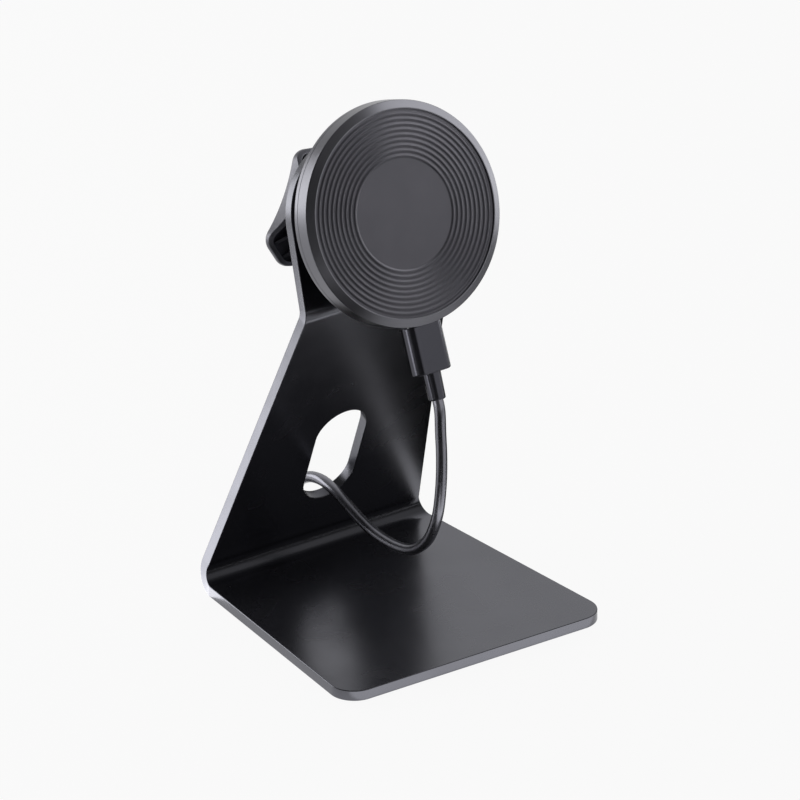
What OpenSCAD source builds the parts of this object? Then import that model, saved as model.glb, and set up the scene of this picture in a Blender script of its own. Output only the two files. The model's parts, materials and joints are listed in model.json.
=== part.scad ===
// Desk charging stand: a folded sheet that carries a round magnetic charging head on a ball clamp.
// Millimetres. The origin is the centre of the pad's underside, +Z is up, and the front faces -Y.

/* [Folded sheet] */
// Thickness of the sheet
sheet_t = 3; // [2.5:0.5:3]
// Width of the base along its front edge
base_front_w = 85.1; // [84:0.1:90]
// Width of the sheet at the corner of the lower fold
fold_w = 70.2; // [69:0.1:72]
// Depth of the base from its front edge to the corner of the lower fold
base_d = 81.1; // [78:0.1:84]
// Radius of the base's front corners
base_corner_r = 7; // [6:0.5:10]
// Angle that the upright leans towards the front
lean = 19.9; // [17:0.1:21]
// Length of the upright between the corners of its two bends, along its back
upright_len = 95.1; // [93:0.1:97]
// Outer radius of the lower fold
fold_r = 6.4; // [6:0.1:7]
// Radius of the upper bend on its back
bend_r = 3; // [2:0.5:4]
// Width of the sheet at the corner of the upper bend
bend_w = 45.9; // [45:0.1:47]
// Angle that the head plate leans back
tilt = 22.6; // [20:0.1:24]
// Radius of the head plate's round top
plate_r = 21.2; // [20.5:0.1:22]

/* [Cable hole] */
// Width of the cable hole
hole_w = 16; // [14:0.5:18]
// Length of the cable hole along the upright
hole_len = 31.6; // [28:0.2:34]
// Middle of the cable hole, measured up the upright from the lower fold's corner
hole_mid = 37.7; // [36:0.1:40]

/* [Base pad] */
// Thickness of the pad under the base
pad_t = 1; // [1:0.1:1.5]
// Width of the pad
pad_w = 64; // [58:1:66]
// Depth of the pad
pad_d = 62; // [56:1:64]
// Corner radius of the pad
pad_corner_r = 7; // [4:1:9]

/* [Charging head] */
// Radius of the charging head
head_r = 30; // [30:0.1:30.2]
// Height of the head's back above the back of the head plate
head_back = 18.4; // [18.4:0.1:18.8]
// Depth of the rear housing, from the back to the parting line
rear_depth = 1.85; // [1.8:0.05:1.9]
// Depth of the whole head, from the back to the front rim
head_depth = 7.15; // [7.1:0.05:7.3]
// Radial width of the chamfer on the front rim
rim_chamfer_w = 2.1; // [1.5:0.1:2.2]
// Axial height of the chamfer on the front rim
rim_chamfer_h = 1.1; // [0.8:0.1:1.3]
// Depth of the face below the front rim
face_recess = 0.5; // [0.4:0.1:0.6]
// Number of ridges on the face
ridge_count = 9; // [8:1:9]
// Distance from ridge to ridge
ridge_pitch = 1.385; // [1.3:0.005:1.4]
// Radius of the outermost ridge
ridge_outer_r = 26.3; // [26:0.1:26.4]
// Height of a ridge
ridge_h = 0.35; // [0.2:0.05:0.4]

/* [Ball clamp] */
// Radius of the ball
ball_r = 6.5; // [6.5:0.1:6.6]
// Depth of the ball's centre behind the back of the head plate
ball_depth = 2; // [1.8:0.1:2.2]
// Radius of the ball's stem
stem_r = 3; // [2.6:0.1:3.1]
// Clearance between the ball and its seats
ball_gap = 0.3; // [0.3:0.05:0.35]
// Radius of the collar's thread
collar_r = 8.5; // [8.5:0.1:8.6]
// Radius of the collar's flange
flange_r = 13; // [12:0.5:14]

/* [Clamp knob] */
// Distance from the knob's axis to the blunt end of a lobe
lobe_reach = 17.5; // [17:0.1:18]
// Radius of the two corners at the end of a lobe
lobe_r = 3.9; // [3.7:0.1:4.1]
// Distance between the centres of those two corners
lobe_flat = 3.8; // [3.6:0.1:4]
// Distance from the axis to the middle of the hollow between two lobes
waist_x = 11.3; // [11.2:0.1:11.5]
// Direction of the first lobe, in degrees from +X towards the top
lobe_turn = 82.6; // [80:0.2:90]
// Depth of the lobed part beside the hub
knob_h = 7.9; // [7.5:0.1:8]
// Fall of the lobes' front for each millimetre outwards
knob_slope = 0.92; // [0.9:0.01:0.95]
// Wall of the lobed part
knob_wall = 1.2; // [1.2:0.1:1.6]

/* [Plug and cord] */
// Diameter of the cord
cord_d = 3; // [2.8:0.1:3.2]
// Width of the plug's grip
grip_w = 11.5; // [11:0.1:12]
// Thickness of the plug's grip
grip_t = 6.2; // [6:0.1:6.5]
// Length of the plug's grip
grip_len = 12.6; // [12:0.1:13]
// Length of the sleeve behind the grip
sleeve_len = 7.5; // [7:0.1:8]
// Diameter of the sleeve
sleeve_d = 5; // [4.6:0.1:5.2]

/* [Hidden] */
$fn = 96;
small_fn = 32;

// Colours, as the photograph shows them
graphite = [0.13, 0.13, 0.15];
graphite_head = [0.17, 0.17, 0.19];
soft_black = [0.09, 0.09, 0.1];
cord_black = [0.12, 0.12, 0.13];
steel = [0.72, 0.73, 0.75];
brass = [0.8, 0.65, 0.32];

// Lower fold: its corner lies this far behind the pad's centre
fold_y = 45;
fold_turn = 90 + lean;
fold_tangent = fold_r * tan(fold_turn / 2);
base_taper = (base_front_w - fold_w) / 2 / base_d;
base_taper_angle = atan(base_taper);
upright_taper = (fold_w - bend_w) / 2 / upright_len;
bend_turn = lean + tilt;
bend_tangent = bend_r * tan(bend_turn / 2);
plate_taper = 0.079;

// Head plate: the axis of the head lies this far above the upper bend's corner
axis_height = 21.2;

// Heights along the axis of the head, from the back of the head plate, positive to the front
parting_n = head_back + rear_depth;
rim_n = head_back + head_depth;
face_n = rim_n - face_recess;
floor_t = 1;
shell_t = 1.5;
web_t = 0.8;
pad_seat_n = face_n - 1.2;
web_n = pad_seat_n - web_t;
coil_t = 1;
ferrite_t = 0.5;
ferrite_n = web_n - coil_t - ferrite_t;
board_t = 0.6;
board_n = head_back + floor_t + 0.3;
socket_n = head_back + 2.1;

// Ball clamp, behind and in front of the plate
flange_t = 2.2;
mouth_r = 5.6;
bore_r = ball_r + ball_gap;
washer_t = 1;
nut_t = 4;
nut_flats = 19;
clamp_outer_r = 11;
collar_end = -12;
cup_front = -5.5;
cup_back = -11.5;
knob_back = -19;
knob_floor = 1.4;
hub_front = -6;
insert_r = 9.9;
hub_n = head_back - 5;
hub_r = 13;
stud_flange_r = 7;
stud_flange_t = 1.6;
screw_ring_r = 9.5;

// Plug and socket: a plug of the common reversible kind, 8.25 by 2.4 by 6.65
plug_w = 8.25;
plug_t = 2.4;
plug_len = 6.65;
plug_wall = 0.3;
grip_face_u = -30.4;
grip_corner_r = 3;
socket_w = 8.94;
socket_t = 3.16;
socket_len = 7.35;
socket_wall = 0.3;
socket_mouth_u = -29.7;
socket_room = 0.2;
boss_w = 13;
boss_depth = 1.4;
boss_top_u = -13.3;

// Cord: its route, in this frame, from the sleeve down, round, through the cable hole and onto the hank
ROUTE = [[0, -17.59, 71.17], [0, -18.3, 69.48], [0, -18.75, 66.9], [0, -18.95, 62.4], [0, -19.4, 56],
         [0, -19.4, 50], [0, -18.9, 44], [0, -17.9, 38.2], [0, -16.1, 33.1], [0, -13.5, 28.4],
         [0, -9.6, 24.4], [0, -4.8, 21.5], [0, 0.6, 20.1], [0, 6.4, 19.6], [0, 12.2, 19.9], [0, 18, 21.1],
         [0, 23.8, 22.8], [0, 29.4, 24.5], [0, 34.8, 25.2], [0.1, 40, 24.2], [0.5, 44.4, 21.9],
         [1.3, 48.4, 18.9], [2.8, 52, 16], [4.9, 55.4, 13.7], [7.5, 58.8, 12.2], [10.4, 61.9, 11.4]];
TAIL = [[-5.8, 48.5, 2.1], [-2.5, 48.5, 2.1], [1, 48.9, 2.2], [4, 50.2, 2.6], [6.6, 51, 3.1],
        [8.92, 51, 3.1]];
tube_sides = 8;
ring_steps = 2;

// Hank: four layers of cord, lying on the desk behind the fold
hank_layers = 4;
hank_near = [-5.9, 54.4];
hank_angle = 46.7;
hank_run = 56;
hank_turn_r = 6;
tie_t = 0.6;
tie_w = 9;
hank_bottom = tie_t;
hank_h = hank_layers * cord_d;
hank_side = hank_turn_r + cord_d / 2;
far_sleeve_x = 9;
far_y = 51;
far_n = grip_t / 2;

// Frame of the upright: Y runs up its back, Z points out of its front
module on_upright() {
    translate([0, fold_y, pad_t]) rotate([fold_turn, 0, 0]) children();
}

// Frame of the head: the origin is its axis on the plate's back, Y runs up the plate, Z to the front
module on_head() {
    on_upright() translate([0, upright_len, 0]) rotate([-bend_turn, 0, 0])
        translate([0, axis_height, 0]) children();
}

// Turns a drawing so that its X runs along Y, its Y along Z, and its Z across along X
module across() {
    rotate([90, 0, 90]) children();
}

// A tube that stands on z
module ring(outer_r, inner_r, z, h) {
    translate([0, 0, z]) difference() {
        cylinder(r = outer_r, h = h);
        translate([0, 0, -1]) cylinder(r = inner_r, h = h + 2);
    }
}

// A flat outline of a rectangle with round corners
module round_rect(w, h, r) {
    square([w - 2 * r, h], center = true);
    square([w, h - 2 * r], center = true);
    for (x = [-1, 1], y = [-1, 1])
        translate([x * (w / 2 - r), y * (h / 2 - r)]) circle(r = r, $fn = small_fn);
}

// A flat outline with round ends, r round two centres a distance apart along Y
module slot_shape(r, run) {
    translate([-r, 0]) square([2 * r, run]);
    circle(r = r);
    translate([0, run]) circle(r = r);
}

// Half of a bend, from the end of a flat plate to the middle of the bend: a ring sector about X, its sides cut
// flat from the plate's width to the width in the middle. A negative turn bends the other way. The half that is
// nested is thinner by a hair and runs on into the other half, so that the two are one solid.
module half_bend(start, turn, inner_r, plate_half, middle_half, nested = false) {
    nest = nested ? 0.01 : 0;
    swept = nested ? turn * 1.02 : turn;
    outer_r = inner_r + sheet_t;
    middle = middle_half - nest;
    slope = (middle - plate_half) / ((inner_r + sheet_t / 2) * sin(turn));
    reach = outer_r * abs(sin(turn)) + 0.5;
    low = middle - slope * reach;
    high = middle + slope * reach;
    widest = max(plate_half, middle) + 1;
    rotate([0, 0, start]) intersection() {
        rotate_extrude(angle = swept) translate([inner_r + nest, -widest])
            square([sheet_t - 2 * nest, 2 * widest]);
        rotate([0, 0, turn]) across() linear_extrude(outer_r + 1)
            polygon([[-reach, -low], [reach, -high], [reach, high], [-reach, low]]);
    }
}

module base_outline() {
    front = fold_y - base_d;
    back = fold_y - fold_tangent;
    c = base_taper_angle;
    corner_x = base_front_w / 2 - base_corner_r * tan(c) - base_corner_r / cos(c);
    side_x = corner_x + base_corner_r * cos(c);
    side_y = front + base_corner_r + base_corner_r * sin(c);
    back_x = fold_w / 2 + fold_tangent * base_taper;
    polygon([[-corner_x, front], [corner_x, front], [side_x, side_y], [back_x, back],
             [-back_x, back], [-side_x, side_y]]);
    for (s = [-1, 1]) translate([s * corner_x, front + base_corner_r]) circle(r = base_corner_r);
}

module head_plate_outline() {
    low_u = bend_tangent - axis_height;
    low_x = bend_w / 2 - bend_tangent * plate_taper;
    touch = acos(plate_r / norm([low_x, low_u])) - atan(-low_u / low_x);
    touch_x = plate_r * cos(touch);
    touch_u = plate_r * sin(touch);
    polygon([[-low_x, low_u], [low_x, low_u], [touch_x, touch_u], [-touch_x, touch_u]]);
    circle(r = plate_r);
}

module stand_sheet() {
    base_end = fold_w / 2 + fold_tangent * base_taper;
    foot = fold_w / 2 - fold_tangent * upright_taper;
    top = bend_w / 2 + bend_tangent * upright_taper;
    plate = bend_w / 2 - bend_tangent * plate_taper;
    color(graphite) union() {
        translate([0, 0, pad_t]) linear_extrude(sheet_t) base_outline();
        translate([0, fold_y - fold_tangent, pad_t + fold_r]) across()
            half_bend(-90, fold_turn / 2, fold_r - sheet_t, base_end, (base_end + foot) / 2);
        on_upright() translate([0, fold_tangent, fold_r]) across()
            half_bend(-90, -fold_turn / 2, fold_r - sheet_t, foot, (base_end + foot) / 2, nested = true);
        on_upright() linear_extrude(sheet_t) difference() {
            polygon([[-foot, fold_tangent], [foot, fold_tangent],
                     [top, upright_len - bend_tangent], [-top, upright_len - bend_tangent]]);
            translate([0, hole_mid - (hole_len - hole_w) / 2]) slot_shape(hole_w / 2, hole_len - hole_w);
        }
        on_upright() translate([0, upright_len - bend_tangent, -bend_r]) across()
            half_bend(90, -bend_turn / 2, bend_r, top, (top + plate) / 2, nested = true);
        on_head() translate([0, bend_tangent - axis_height, -bend_r]) across()
            half_bend(90, bend_turn / 2, bend_r, plate, (top + plate) / 2);
        on_head() linear_extrude(sheet_t) difference() {
            head_plate_outline();
            circle(r = collar_r + 0.1);
        }
    }
}

module base_pad() {
    color(soft_black) linear_extrude(pad_t) round_rect(pad_w, pad_d, pad_corner_r);
}

module clamp_collar() {
    mouth_n = -ball_depth + sqrt(pow(bore_r + 0.2, 2) - pow(mouth_r, 2));
    color(steel) on_head() rotate_extrude() polygon([
        [mouth_r, mouth_n], [mouth_r, sheet_t + flange_t], [flange_r - 0.5, sheet_t + flange_t],
        [flange_r, sheet_t + flange_t - 0.5], [flange_r, sheet_t], [collar_r, sheet_t],
        [collar_r, collar_end], [bore_r, collar_end], [bore_r, 1.5 - ball_depth]]);
}

module collar_washer() {
    color(steel) on_head() ring(clamp_outer_r, collar_r + 0.1, -washer_t, washer_t);
}

module lock_nut() {
    across_corners_r = nut_flats / 2 / cos(30);
    color(steel) on_head() translate([0, 0, -washer_t - nut_t]) difference() {
        cylinder(r = across_corners_r, h = nut_t, $fn = 6);
        translate([0, 0, -1]) cylinder(r = collar_r + 0.05, h = nut_t + 2);
    }
}

module ball_stud() {
    spigot_r = 3.5;
    color(steel) on_head() union() {
        translate([0, 0, -ball_depth]) sphere(r = ball_r);
        translate([0, 0, -ball_depth]) cylinder(r = stem_r, h = hub_n + ball_depth);
        translate([0, 0, hub_n - stud_flange_t]) cylinder(r = stud_flange_r, h = stud_flange_t);
        translate([0, 0, hub_n]) cylinder(r = spigot_r, h = 3);
    }
}

module pressure_cup() {
    color([0.85, 0.85, 0.82]) on_head() difference() {
        translate([0, 0, cup_back]) cylinder(r = bore_r - 0.05, h = cup_front - cup_back);
        translate([0, 0, -ball_depth]) sphere(r = bore_r + 0.05);
    }
}

module thrust_washer() {
    color(steel) on_head() ring(bore_r - 0.1, 2, cup_back - 1, 1);
}

// Points on an arc about a centre, with or without its two ends
function arc_points(centre, r, from, sweep, steps, ends = true) =
    [for (i = [ends ? 0 : 1 : ends ? steps : steps - 1])
        centre + r * [cos(from + sweep * i / steps), sin(from + sweep * i / steps)]];

// One lobe along X and the hollow that follows it, drawn in by a wall's thickness: two corners and a wide
// arc that touches them
function lobe_points(inset, steps = 6) =
    let (corner = [lobe_reach - lobe_r, lobe_flat / 2], along = corner * [cos(60), sin(60)],
         hollow_r = (pow(lobe_r, 2) - pow(waist_x, 2) + 2 * waist_x * along - corner * corner)
             / (2 * (waist_x - along - lobe_r)),
         centre = (waist_x + hollow_r) * [cos(60), sin(60)],
         half = atan2(centre[1] - corner[1], centre[0] - corner[0]))
    concat(arc_points([corner[0], -corner[1]], lobe_r - inset, -half, half, steps),
           arc_points(corner, lobe_r - inset, 0, half, steps),
           arc_points(centre, hollow_r + inset, half - 180, 120 - 2 * half, steps, ends = false));

module lobe_outline(inset) {
    polygon([for (k = [0 : 2], p = lobe_points(inset)) let (a = lobe_turn + 120 * k)
        [p[0] * cos(a) - p[1] * sin(a), p[0] * sin(a) + p[1] * cos(a)]]);
}

// The room under the lobes' sloping front, which falls outwards from the hub, lowered by a depth
module under_front(depth) {
    h = knob_h - depth;
    translate([0, 0, knob_back]) cylinder(r1 = clamp_outer_r + h / knob_slope, r2 = clamp_outer_r, h = h);
}

module clamp_knob() {
    floor_n = cup_back - 1;
    rib_t = 0.8;
    color(graphite) on_head() difference() {
        union() {
            intersection() {
                under_front(0);
                difference() {
                    translate([0, 0, knob_back]) linear_extrude(knob_h) lobe_outline(0);
                    translate([0, 0, knob_back + knob_floor]) linear_extrude(knob_h) lobe_outline(knob_wall);
                }
            }
            intersection() {
                under_front(1);
                translate([0, 0, knob_back]) linear_extrude(knob_h) lobe_outline(knob_wall / 2);
                for (k = [0 : 2], s = [-1, 1]) rotate(lobe_turn + 120 * k)
                    translate([0, 2.2 * s - rib_t / 2, knob_back]) cube([lobe_reach, rib_t, knob_h]);
            }
            translate([0, 0, knob_back]) cylinder(r = clamp_outer_r, h = hub_front - knob_back);
        }
        translate([0, 0, floor_n]) cylinder(r = insert_r, h = hub_front - floor_n + 1);
    }
}

module knob_insert() {
    color(brass) on_head() ring(insert_r, collar_r + 0.05, collar_end, hub_front - collar_end - 0.2);
}

module hub_screw_places() {
    for (k = [0 : 2]) rotate(90 + 120 * k) translate([screw_ring_r, 0]) children();
}

module head_hub() {
    color(graphite_head) on_head() difference() {
        translate([0, 0, hub_n]) cylinder(r = hub_r, h = head_back - hub_n);
        translate([0, 0, hub_n - 1]) cylinder(r = 3.52, h = 4.1);
        hub_screw_places() translate([0, 0, hub_n + 0.8]) cylinder(r = 1.02, h = 6, $fn = small_fn);
    }
}

module hub_screws() {
    color(steel) on_head() hub_screw_places() union() {
        translate([0, 0, hub_n + 1]) cylinder(r = 1, h = head_back + floor_t - hub_n - 0.9, $fn = small_fn);
        translate([0, 0, head_back + floor_t]) cylinder(r = 1.9, h = 0.8, $fn = small_fn);
    }
}

// The room that the socket takes in both housings, from outside the wall to behind the socket
module socket_bay() {
    w = socket_w + 2 * socket_room;
    t = socket_t + 2 * socket_room;
    translate([-w / 2, -head_r - 1, socket_n - t / 2])
        cube([w, head_r + 1 + socket_mouth_u + socket_len + socket_room, t]);
}

module rear_housing() {
    color(graphite_head) on_head() difference() {
        union() {
            difference() {
                translate([0, 0, head_back]) cylinder(r = head_r, h = rear_depth);
                translate([0, 0, head_back + floor_t]) cylinder(r = head_r - shell_t, h = rear_depth);
            }
            intersection() {
                translate([-boss_w / 2, -head_r, head_back - boss_depth])
                    cube([boss_w, head_r + boss_top_u, boss_depth + 0.5]);
                translate([0, 0, head_back - boss_depth]) cylinder(r = head_r, h = boss_depth + 0.5);
            }
        }
        socket_bay();
        hub_screw_places() translate([0, 0, head_back - 1]) cylinder(r = 1.1, h = 3, $fn = small_fn);
    }
}

module front_housing() {
    color(graphite_head) on_head() difference() {
        rotate_extrude() polygon([
            [0, web_n], [head_r - shell_t, web_n], [head_r - shell_t, parting_n], [head_r, parting_n],
            [head_r, rim_n - rim_chamfer_h], [head_r - rim_chamfer_w, rim_n],
            [head_r - rim_chamfer_w - 0.3, rim_n], [head_r - rim_chamfer_w - 0.3, pad_seat_n],
            [0, pad_seat_n]]);
        socket_bay();
    }
}

// Height of the face at a radius: rounded ridges, then the flat centre
function face_height(r) =
    let (inner_r = ridge_outer_r - (ridge_count - 0.5) * ridge_pitch, outer_r = ridge_outer_r + ridge_pitch / 2)
    r < inner_r || r > outer_r ? face_n - ridge_h
    : face_n - ridge_h / 2 + ridge_h / 2 * cos(360 * (r - ridge_outer_r) / ridge_pitch);

module face_pad() {
    outer = head_r - rim_chamfer_w - 0.35;
    inner = ridge_outer_r - (ridge_count - 0.5) * ridge_pitch;
    step = ridge_pitch / 6;
    ridges = [for (i = [0 : 6 * ridge_count]) let (r = inner + i * step) [r, face_height(r)]];
    color(soft_black) on_head() rotate_extrude() polygon(concat(
        [[0, pad_seat_n], [0, face_n - ridge_h]], ridges,
        [[outer, face_n - ridge_h], [outer, pad_seat_n]]));
}

module charging_coil() {
    color([0.75, 0.42, 0.22]) on_head() ring(21.5, 11, web_n - coil_t, coil_t);
}

module ferrite_sheet() {
    color([0.22, 0.22, 0.23]) on_head() translate([0, 0, ferrite_n]) cylinder(r = 22.3, h = ferrite_t);
}

// Arcs of a ring, centred on the top, that leave a gap over the socket
module arc_ring(outer_r, inner_r, z, h, count, gap) {
    span = 360 - gap;
    pitch = span / count;
    for (k = [0 : count - 1])
        rotate([0, 0, -90 + gap / 2 + k * pitch]) rotate_extrude(angle = pitch - (count > 1 ? 1.2 : 0))
            translate([inner_r, z]) square([outer_r - inner_r, h]);
}

module magnet_ring() {
    color(steel) on_head() arc_ring(27.2, 22.8, web_n - 1.5, 1.4, 16, 44);
}

module magnet_backing() {
    color(steel) on_head() arc_ring(27.2, 22.8, web_n - 1.9, 0.4, 1, 44);
}

module circuit_board() {
    color([0.1, 0.35, 0.2]) on_head() difference() {
        ring(22.2, 12.5, board_n, board_t);
        translate([-socket_w / 2 - 0.5, -head_r, board_n - 1])
            cube([socket_w + 1, head_r + socket_mouth_u + socket_len + 0.6, board_t + 2]);
    }
}

module control_chips() {
    chip_t = 0.7;
    color([0.1, 0.1, 0.1]) on_head() for (a = [60, 100, 200])
        rotate(a) translate([15, -2.5, board_n + board_t]) cube([5, 5, chip_t]);
}

module board_capacitors() {
    color([0.6, 0.5, 0.35]) on_head() for (k = [0 : 5])
        rotate(130 + 8 * k) translate([17, -0.6, board_n + board_t]) cube([2.4, 1.2, 0.7]);
}

// A flat tube with round sides, whose mouth faces down the plate
module flat_tube(w, t, wall, mouth_u, len, blind) {
    translate([0, mouth_u, socket_n]) rotate([-90, 0, 0]) difference() {
        linear_extrude(len) round_rect(w, t, t / 2 - 0.05);
        translate([0, 0, -1]) linear_extrude(len + 1 - blind)
            round_rect(w - 2 * wall, t - 2 * wall, t / 2 - wall - 0.05);
    }
}

module usb_socket() {
    color(steel) on_head() flat_tube(socket_w, socket_t, socket_wall, socket_mouth_u, socket_len, 0.6);
}

module socket_tongue() {
    tongue_w = 6.69;
    tongue_t = 0.7;
    tongue_len = 4.9;
    color(soft_black) on_head()
        translate([-tongue_w / 2, socket_mouth_u + socket_len - 0.6 - tongue_len, socket_n - tongue_t / 2])
            cube([tongue_w, tongue_len, tongue_t]);
}

// One plug, its grip's front face at the origin and its sleeve running up Z
module plug_shell_shape() {
    translate([0, 0, -plug_len]) difference() {
        linear_extrude(plug_len) round_rect(plug_w, plug_t, plug_t / 2 - 0.05);
        translate([0, 0, -1]) linear_extrude(plug_len)
            round_rect(plug_w - 2 * plug_wall, plug_t - 2 * plug_wall, plug_t / 2 - plug_wall - 0.05);
    }
}

module grip_shape() {
    linear_extrude(grip_len) round_rect(grip_w, grip_t, grip_corner_r);
}

module sleeve_shape() {
    translate([0, 0, grip_len]) cylinder(r1 = sleeve_d / 2, r2 = sleeve_d / 2 - 0.2, h = sleeve_len);
}

module near_plug() {
    on_head() translate([0, grip_face_u, socket_n]) rotate([90, 0, 0]) children();
}

module far_plug() {
    translate([far_sleeve_x + sleeve_len + grip_len, far_y, far_n]) rotate([0, -90, 0]) rotate(90) children();
}

module plug_shell() {
    color(steel) near_plug() plug_shell_shape();
}

module plug_overmould() {
    color(cord_black) near_plug() grip_shape();
}

module cord_sleeve() {
    color(cord_black) near_plug() sleeve_shape();
}

module far_sleeve() {
    color(cord_black) far_plug() sleeve_shape();
}

module far_overmould() {
    color(cord_black) far_plug() grip_shape();
}

module far_plug_shell() {
    color(steel) far_plug() plug_shell_shape();
}

// A point on the smooth curve through a list of points, t from 0 to one less than their number
function curve_point(points, t) =
    let (last = len(points) - 1, i = min(floor(t), last - 1), f = t - i,
         a = points[max(i - 1, 0)], b = points[i], c = points[i + 1], d = points[min(i + 2, last)])
    b + f / 2 * ((c - a) + f * ((2 * a - 5 * b + 4 * c - d) + f * (3 * b - 3 * c + d - a)));

function unit(v) = v / norm(v);

// Rings of a tube about a list of points, each square to the curve
function tube_rings(points, r) =
    [for (i = [0 : len(points) - 1])
        let (ahead = unit(points[min(i + 1, len(points) - 1)] - points[max(i - 1, 0)]),
             side = unit(cross(ahead, [0.02, 0.03, 1])), up = cross(side, ahead))
        [for (k = [0 : tube_sides - 1]) let (a = 360 * (k + 0.5) / tube_sides)
            points[i] + r * (cos(a) * side + sin(a) * up)]];

module swept_tube(points, r) {
    path = [for (i = [0 : ring_steps * (len(points) - 1)]) curve_point(points, i / ring_steps)];
    rings = tube_rings(path, r);
    n = len(rings);
    sides = [for (i = [0 : n - 2], k = [0 : tube_sides - 1], half = [0, 1])
        let (a = i * tube_sides + k, b = i * tube_sides + (k + 1) % tube_sides)
        half == 0 ? [a, a + tube_sides, b] : [a + tube_sides, b + tube_sides, b]];
    ends = [[for (k = [0 : tube_sides - 1]) k],
            [for (k = [tube_sides - 1 : -1 : 0]) (n - 1) * tube_sides + k]];
    polyhedron([for (r = rings) each r], concat(sides, ends));
}

module cord_tube() {
    color(cord_black) swept_tube(ROUTE, cord_d / 2);
}

module cord_tail() {
    color(cord_black) swept_tube(TAIL, cord_d / 2);
}

module on_hank() {
    translate([hank_near[0], hank_near[1], 0]) rotate(hank_angle - 90) children();
}

module cord_hank() {
    color(cord_black) on_hank() translate([0, 0, hank_bottom]) linear_extrude(hank_h)
        slot_shape(hank_side, hank_run);
}

module cord_tie() {
    w = 2 * hank_side;
    color(soft_black) on_hank() translate([0, hank_run / 2 + tie_w / 2, 0]) rotate([90, 0, 0])
        linear_extrude(tie_w) difference() {
            translate([-w / 2 - tie_t, 0]) square([w + 2 * tie_t, hank_h + 2 * tie_t]);
            translate([-w / 2, tie_t]) square([w, hank_h]);
        }
}

stand_sheet();
base_pad();
clamp_collar();
collar_washer();
lock_nut();
ball_stud();
pressure_cup();
thrust_washer();
clamp_knob();
knob_insert();
head_hub();
hub_screws();
rear_housing();
front_housing();
face_pad();
charging_coil();
ferrite_sheet();
magnet_ring();
magnet_backing();
circuit_board();
control_chips();
board_capacitors();
usb_socket();
socket_tongue();
plug_shell();
plug_overmould();
cord_sleeve();
cord_tube();
cord_hank();
cord_tail();
cord_tie();
far_sleeve();
far_overmould();
far_plug_shell();
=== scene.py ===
# %% [markdown]
# # A desk charging stand
#
# The stand is one metal sheet, cut flat, folded twice and coated. A ball clamp behind its round top carries a round
# charging head, and a plug with a thin cord feeds the head from below. This lesson dresses the imported model: every
# piece below is built in metres, in the same frame as the imported nodes, and each but the cord rides on the body that
# moves it.

# %% Load the frame
import json
import math

import bmesh
import bpy
from mathutils import Matrix, Vector


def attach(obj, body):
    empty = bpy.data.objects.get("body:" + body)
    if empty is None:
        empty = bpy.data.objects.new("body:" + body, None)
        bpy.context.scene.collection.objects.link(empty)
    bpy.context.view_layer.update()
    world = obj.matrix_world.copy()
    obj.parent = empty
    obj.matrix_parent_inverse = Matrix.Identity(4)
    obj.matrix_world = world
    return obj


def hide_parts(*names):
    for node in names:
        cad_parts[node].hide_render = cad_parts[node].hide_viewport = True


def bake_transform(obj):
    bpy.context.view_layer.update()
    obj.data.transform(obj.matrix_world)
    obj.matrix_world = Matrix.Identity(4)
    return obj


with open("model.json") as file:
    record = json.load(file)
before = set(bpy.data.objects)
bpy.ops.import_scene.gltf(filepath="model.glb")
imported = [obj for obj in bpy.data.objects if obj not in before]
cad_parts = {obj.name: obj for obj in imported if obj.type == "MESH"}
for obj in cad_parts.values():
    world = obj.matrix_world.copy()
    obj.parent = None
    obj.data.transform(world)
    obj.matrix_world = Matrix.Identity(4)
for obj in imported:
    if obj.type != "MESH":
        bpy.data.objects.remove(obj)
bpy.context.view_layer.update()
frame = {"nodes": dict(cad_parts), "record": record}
nodes = frame["nodes"]
joints = {joint["name"]: joint for joint in frame["record"]["behaviour"]["joints"]}
MM = 0.001

# %% [markdown]
# ## The camera
#
# The photograph was taken from far away with a long lens, so its lines are parallel. A perspective camera nearly ten
# metres away with a very long lens gives the same look, and unlike an orthographic camera it can be moved round
# the object. The lens follows from the number of pixels that a metre covers at the target.

# %% Camera
IMAGE_SIZE = 800
PIXELS_PER_METRE = 3804.7
CAMERA_DISTANCE = 9.8
CAMERA_AZIMUTH = math.radians(-35.095)
CAMERA_ELEVATION = math.radians(27.111)
CAMERA_TARGET = Vector((0.0, -0.42, 63.94)) * MM


def direction(azimuth, elevation):
    """The direction towards an azimuth and an elevation, where azimuth 0 points to −Y and 90° to +X."""
    return Vector((math.sin(azimuth) * math.cos(elevation), -math.cos(azimuth) * math.cos(elevation),
                   math.sin(elevation)))


def make_camera():
    data = bpy.data.cameras.new("camera")
    camera = bpy.data.objects.new("camera", data)
    bpy.context.collection.objects.link(camera)
    toward = direction(CAMERA_AZIMUTH, CAMERA_ELEVATION)
    camera.location = CAMERA_TARGET + toward * CAMERA_DISTANCE
    camera.rotation_euler = toward.to_track_quat("Z", "Y").to_euler()
    data.lens = data.sensor_width * PIXELS_PER_METRE * CAMERA_DISTANCE / IMAGE_SIZE
    data.clip_start = 0.1
    data.clip_end = 40.0
    bpy.context.scene.camera = camera
    return camera


camera = make_camera()
print("lens in mm:", round(camera.data.lens, 1))

# %% [markdown]
# ## The frames of the sheet
#
# Three flat parts make the sheet: base, upright and head plate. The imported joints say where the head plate's axis
# runs, and the angles of the two bends say how the upright leans. Everything on the head is drawn in the head's own
# frame, where Y runs up the plate and Z out of its front, and is then moved into place in its mesh.

# %% Frames
LEAN = math.radians(19.9)
TILT = math.radians(22.6)
FOLD_CORNER = Vector((0.0, 45.0, 1.0)) * MM
UPRIGHT_LENGTH = 95.1 * MM
SHEET = 3.0 * MM


def frame_matrix(origin, up, out):
    return Matrix.Translation(origin) @ Matrix((up.cross(out), up, out)).transposed().to_4x4()


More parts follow.
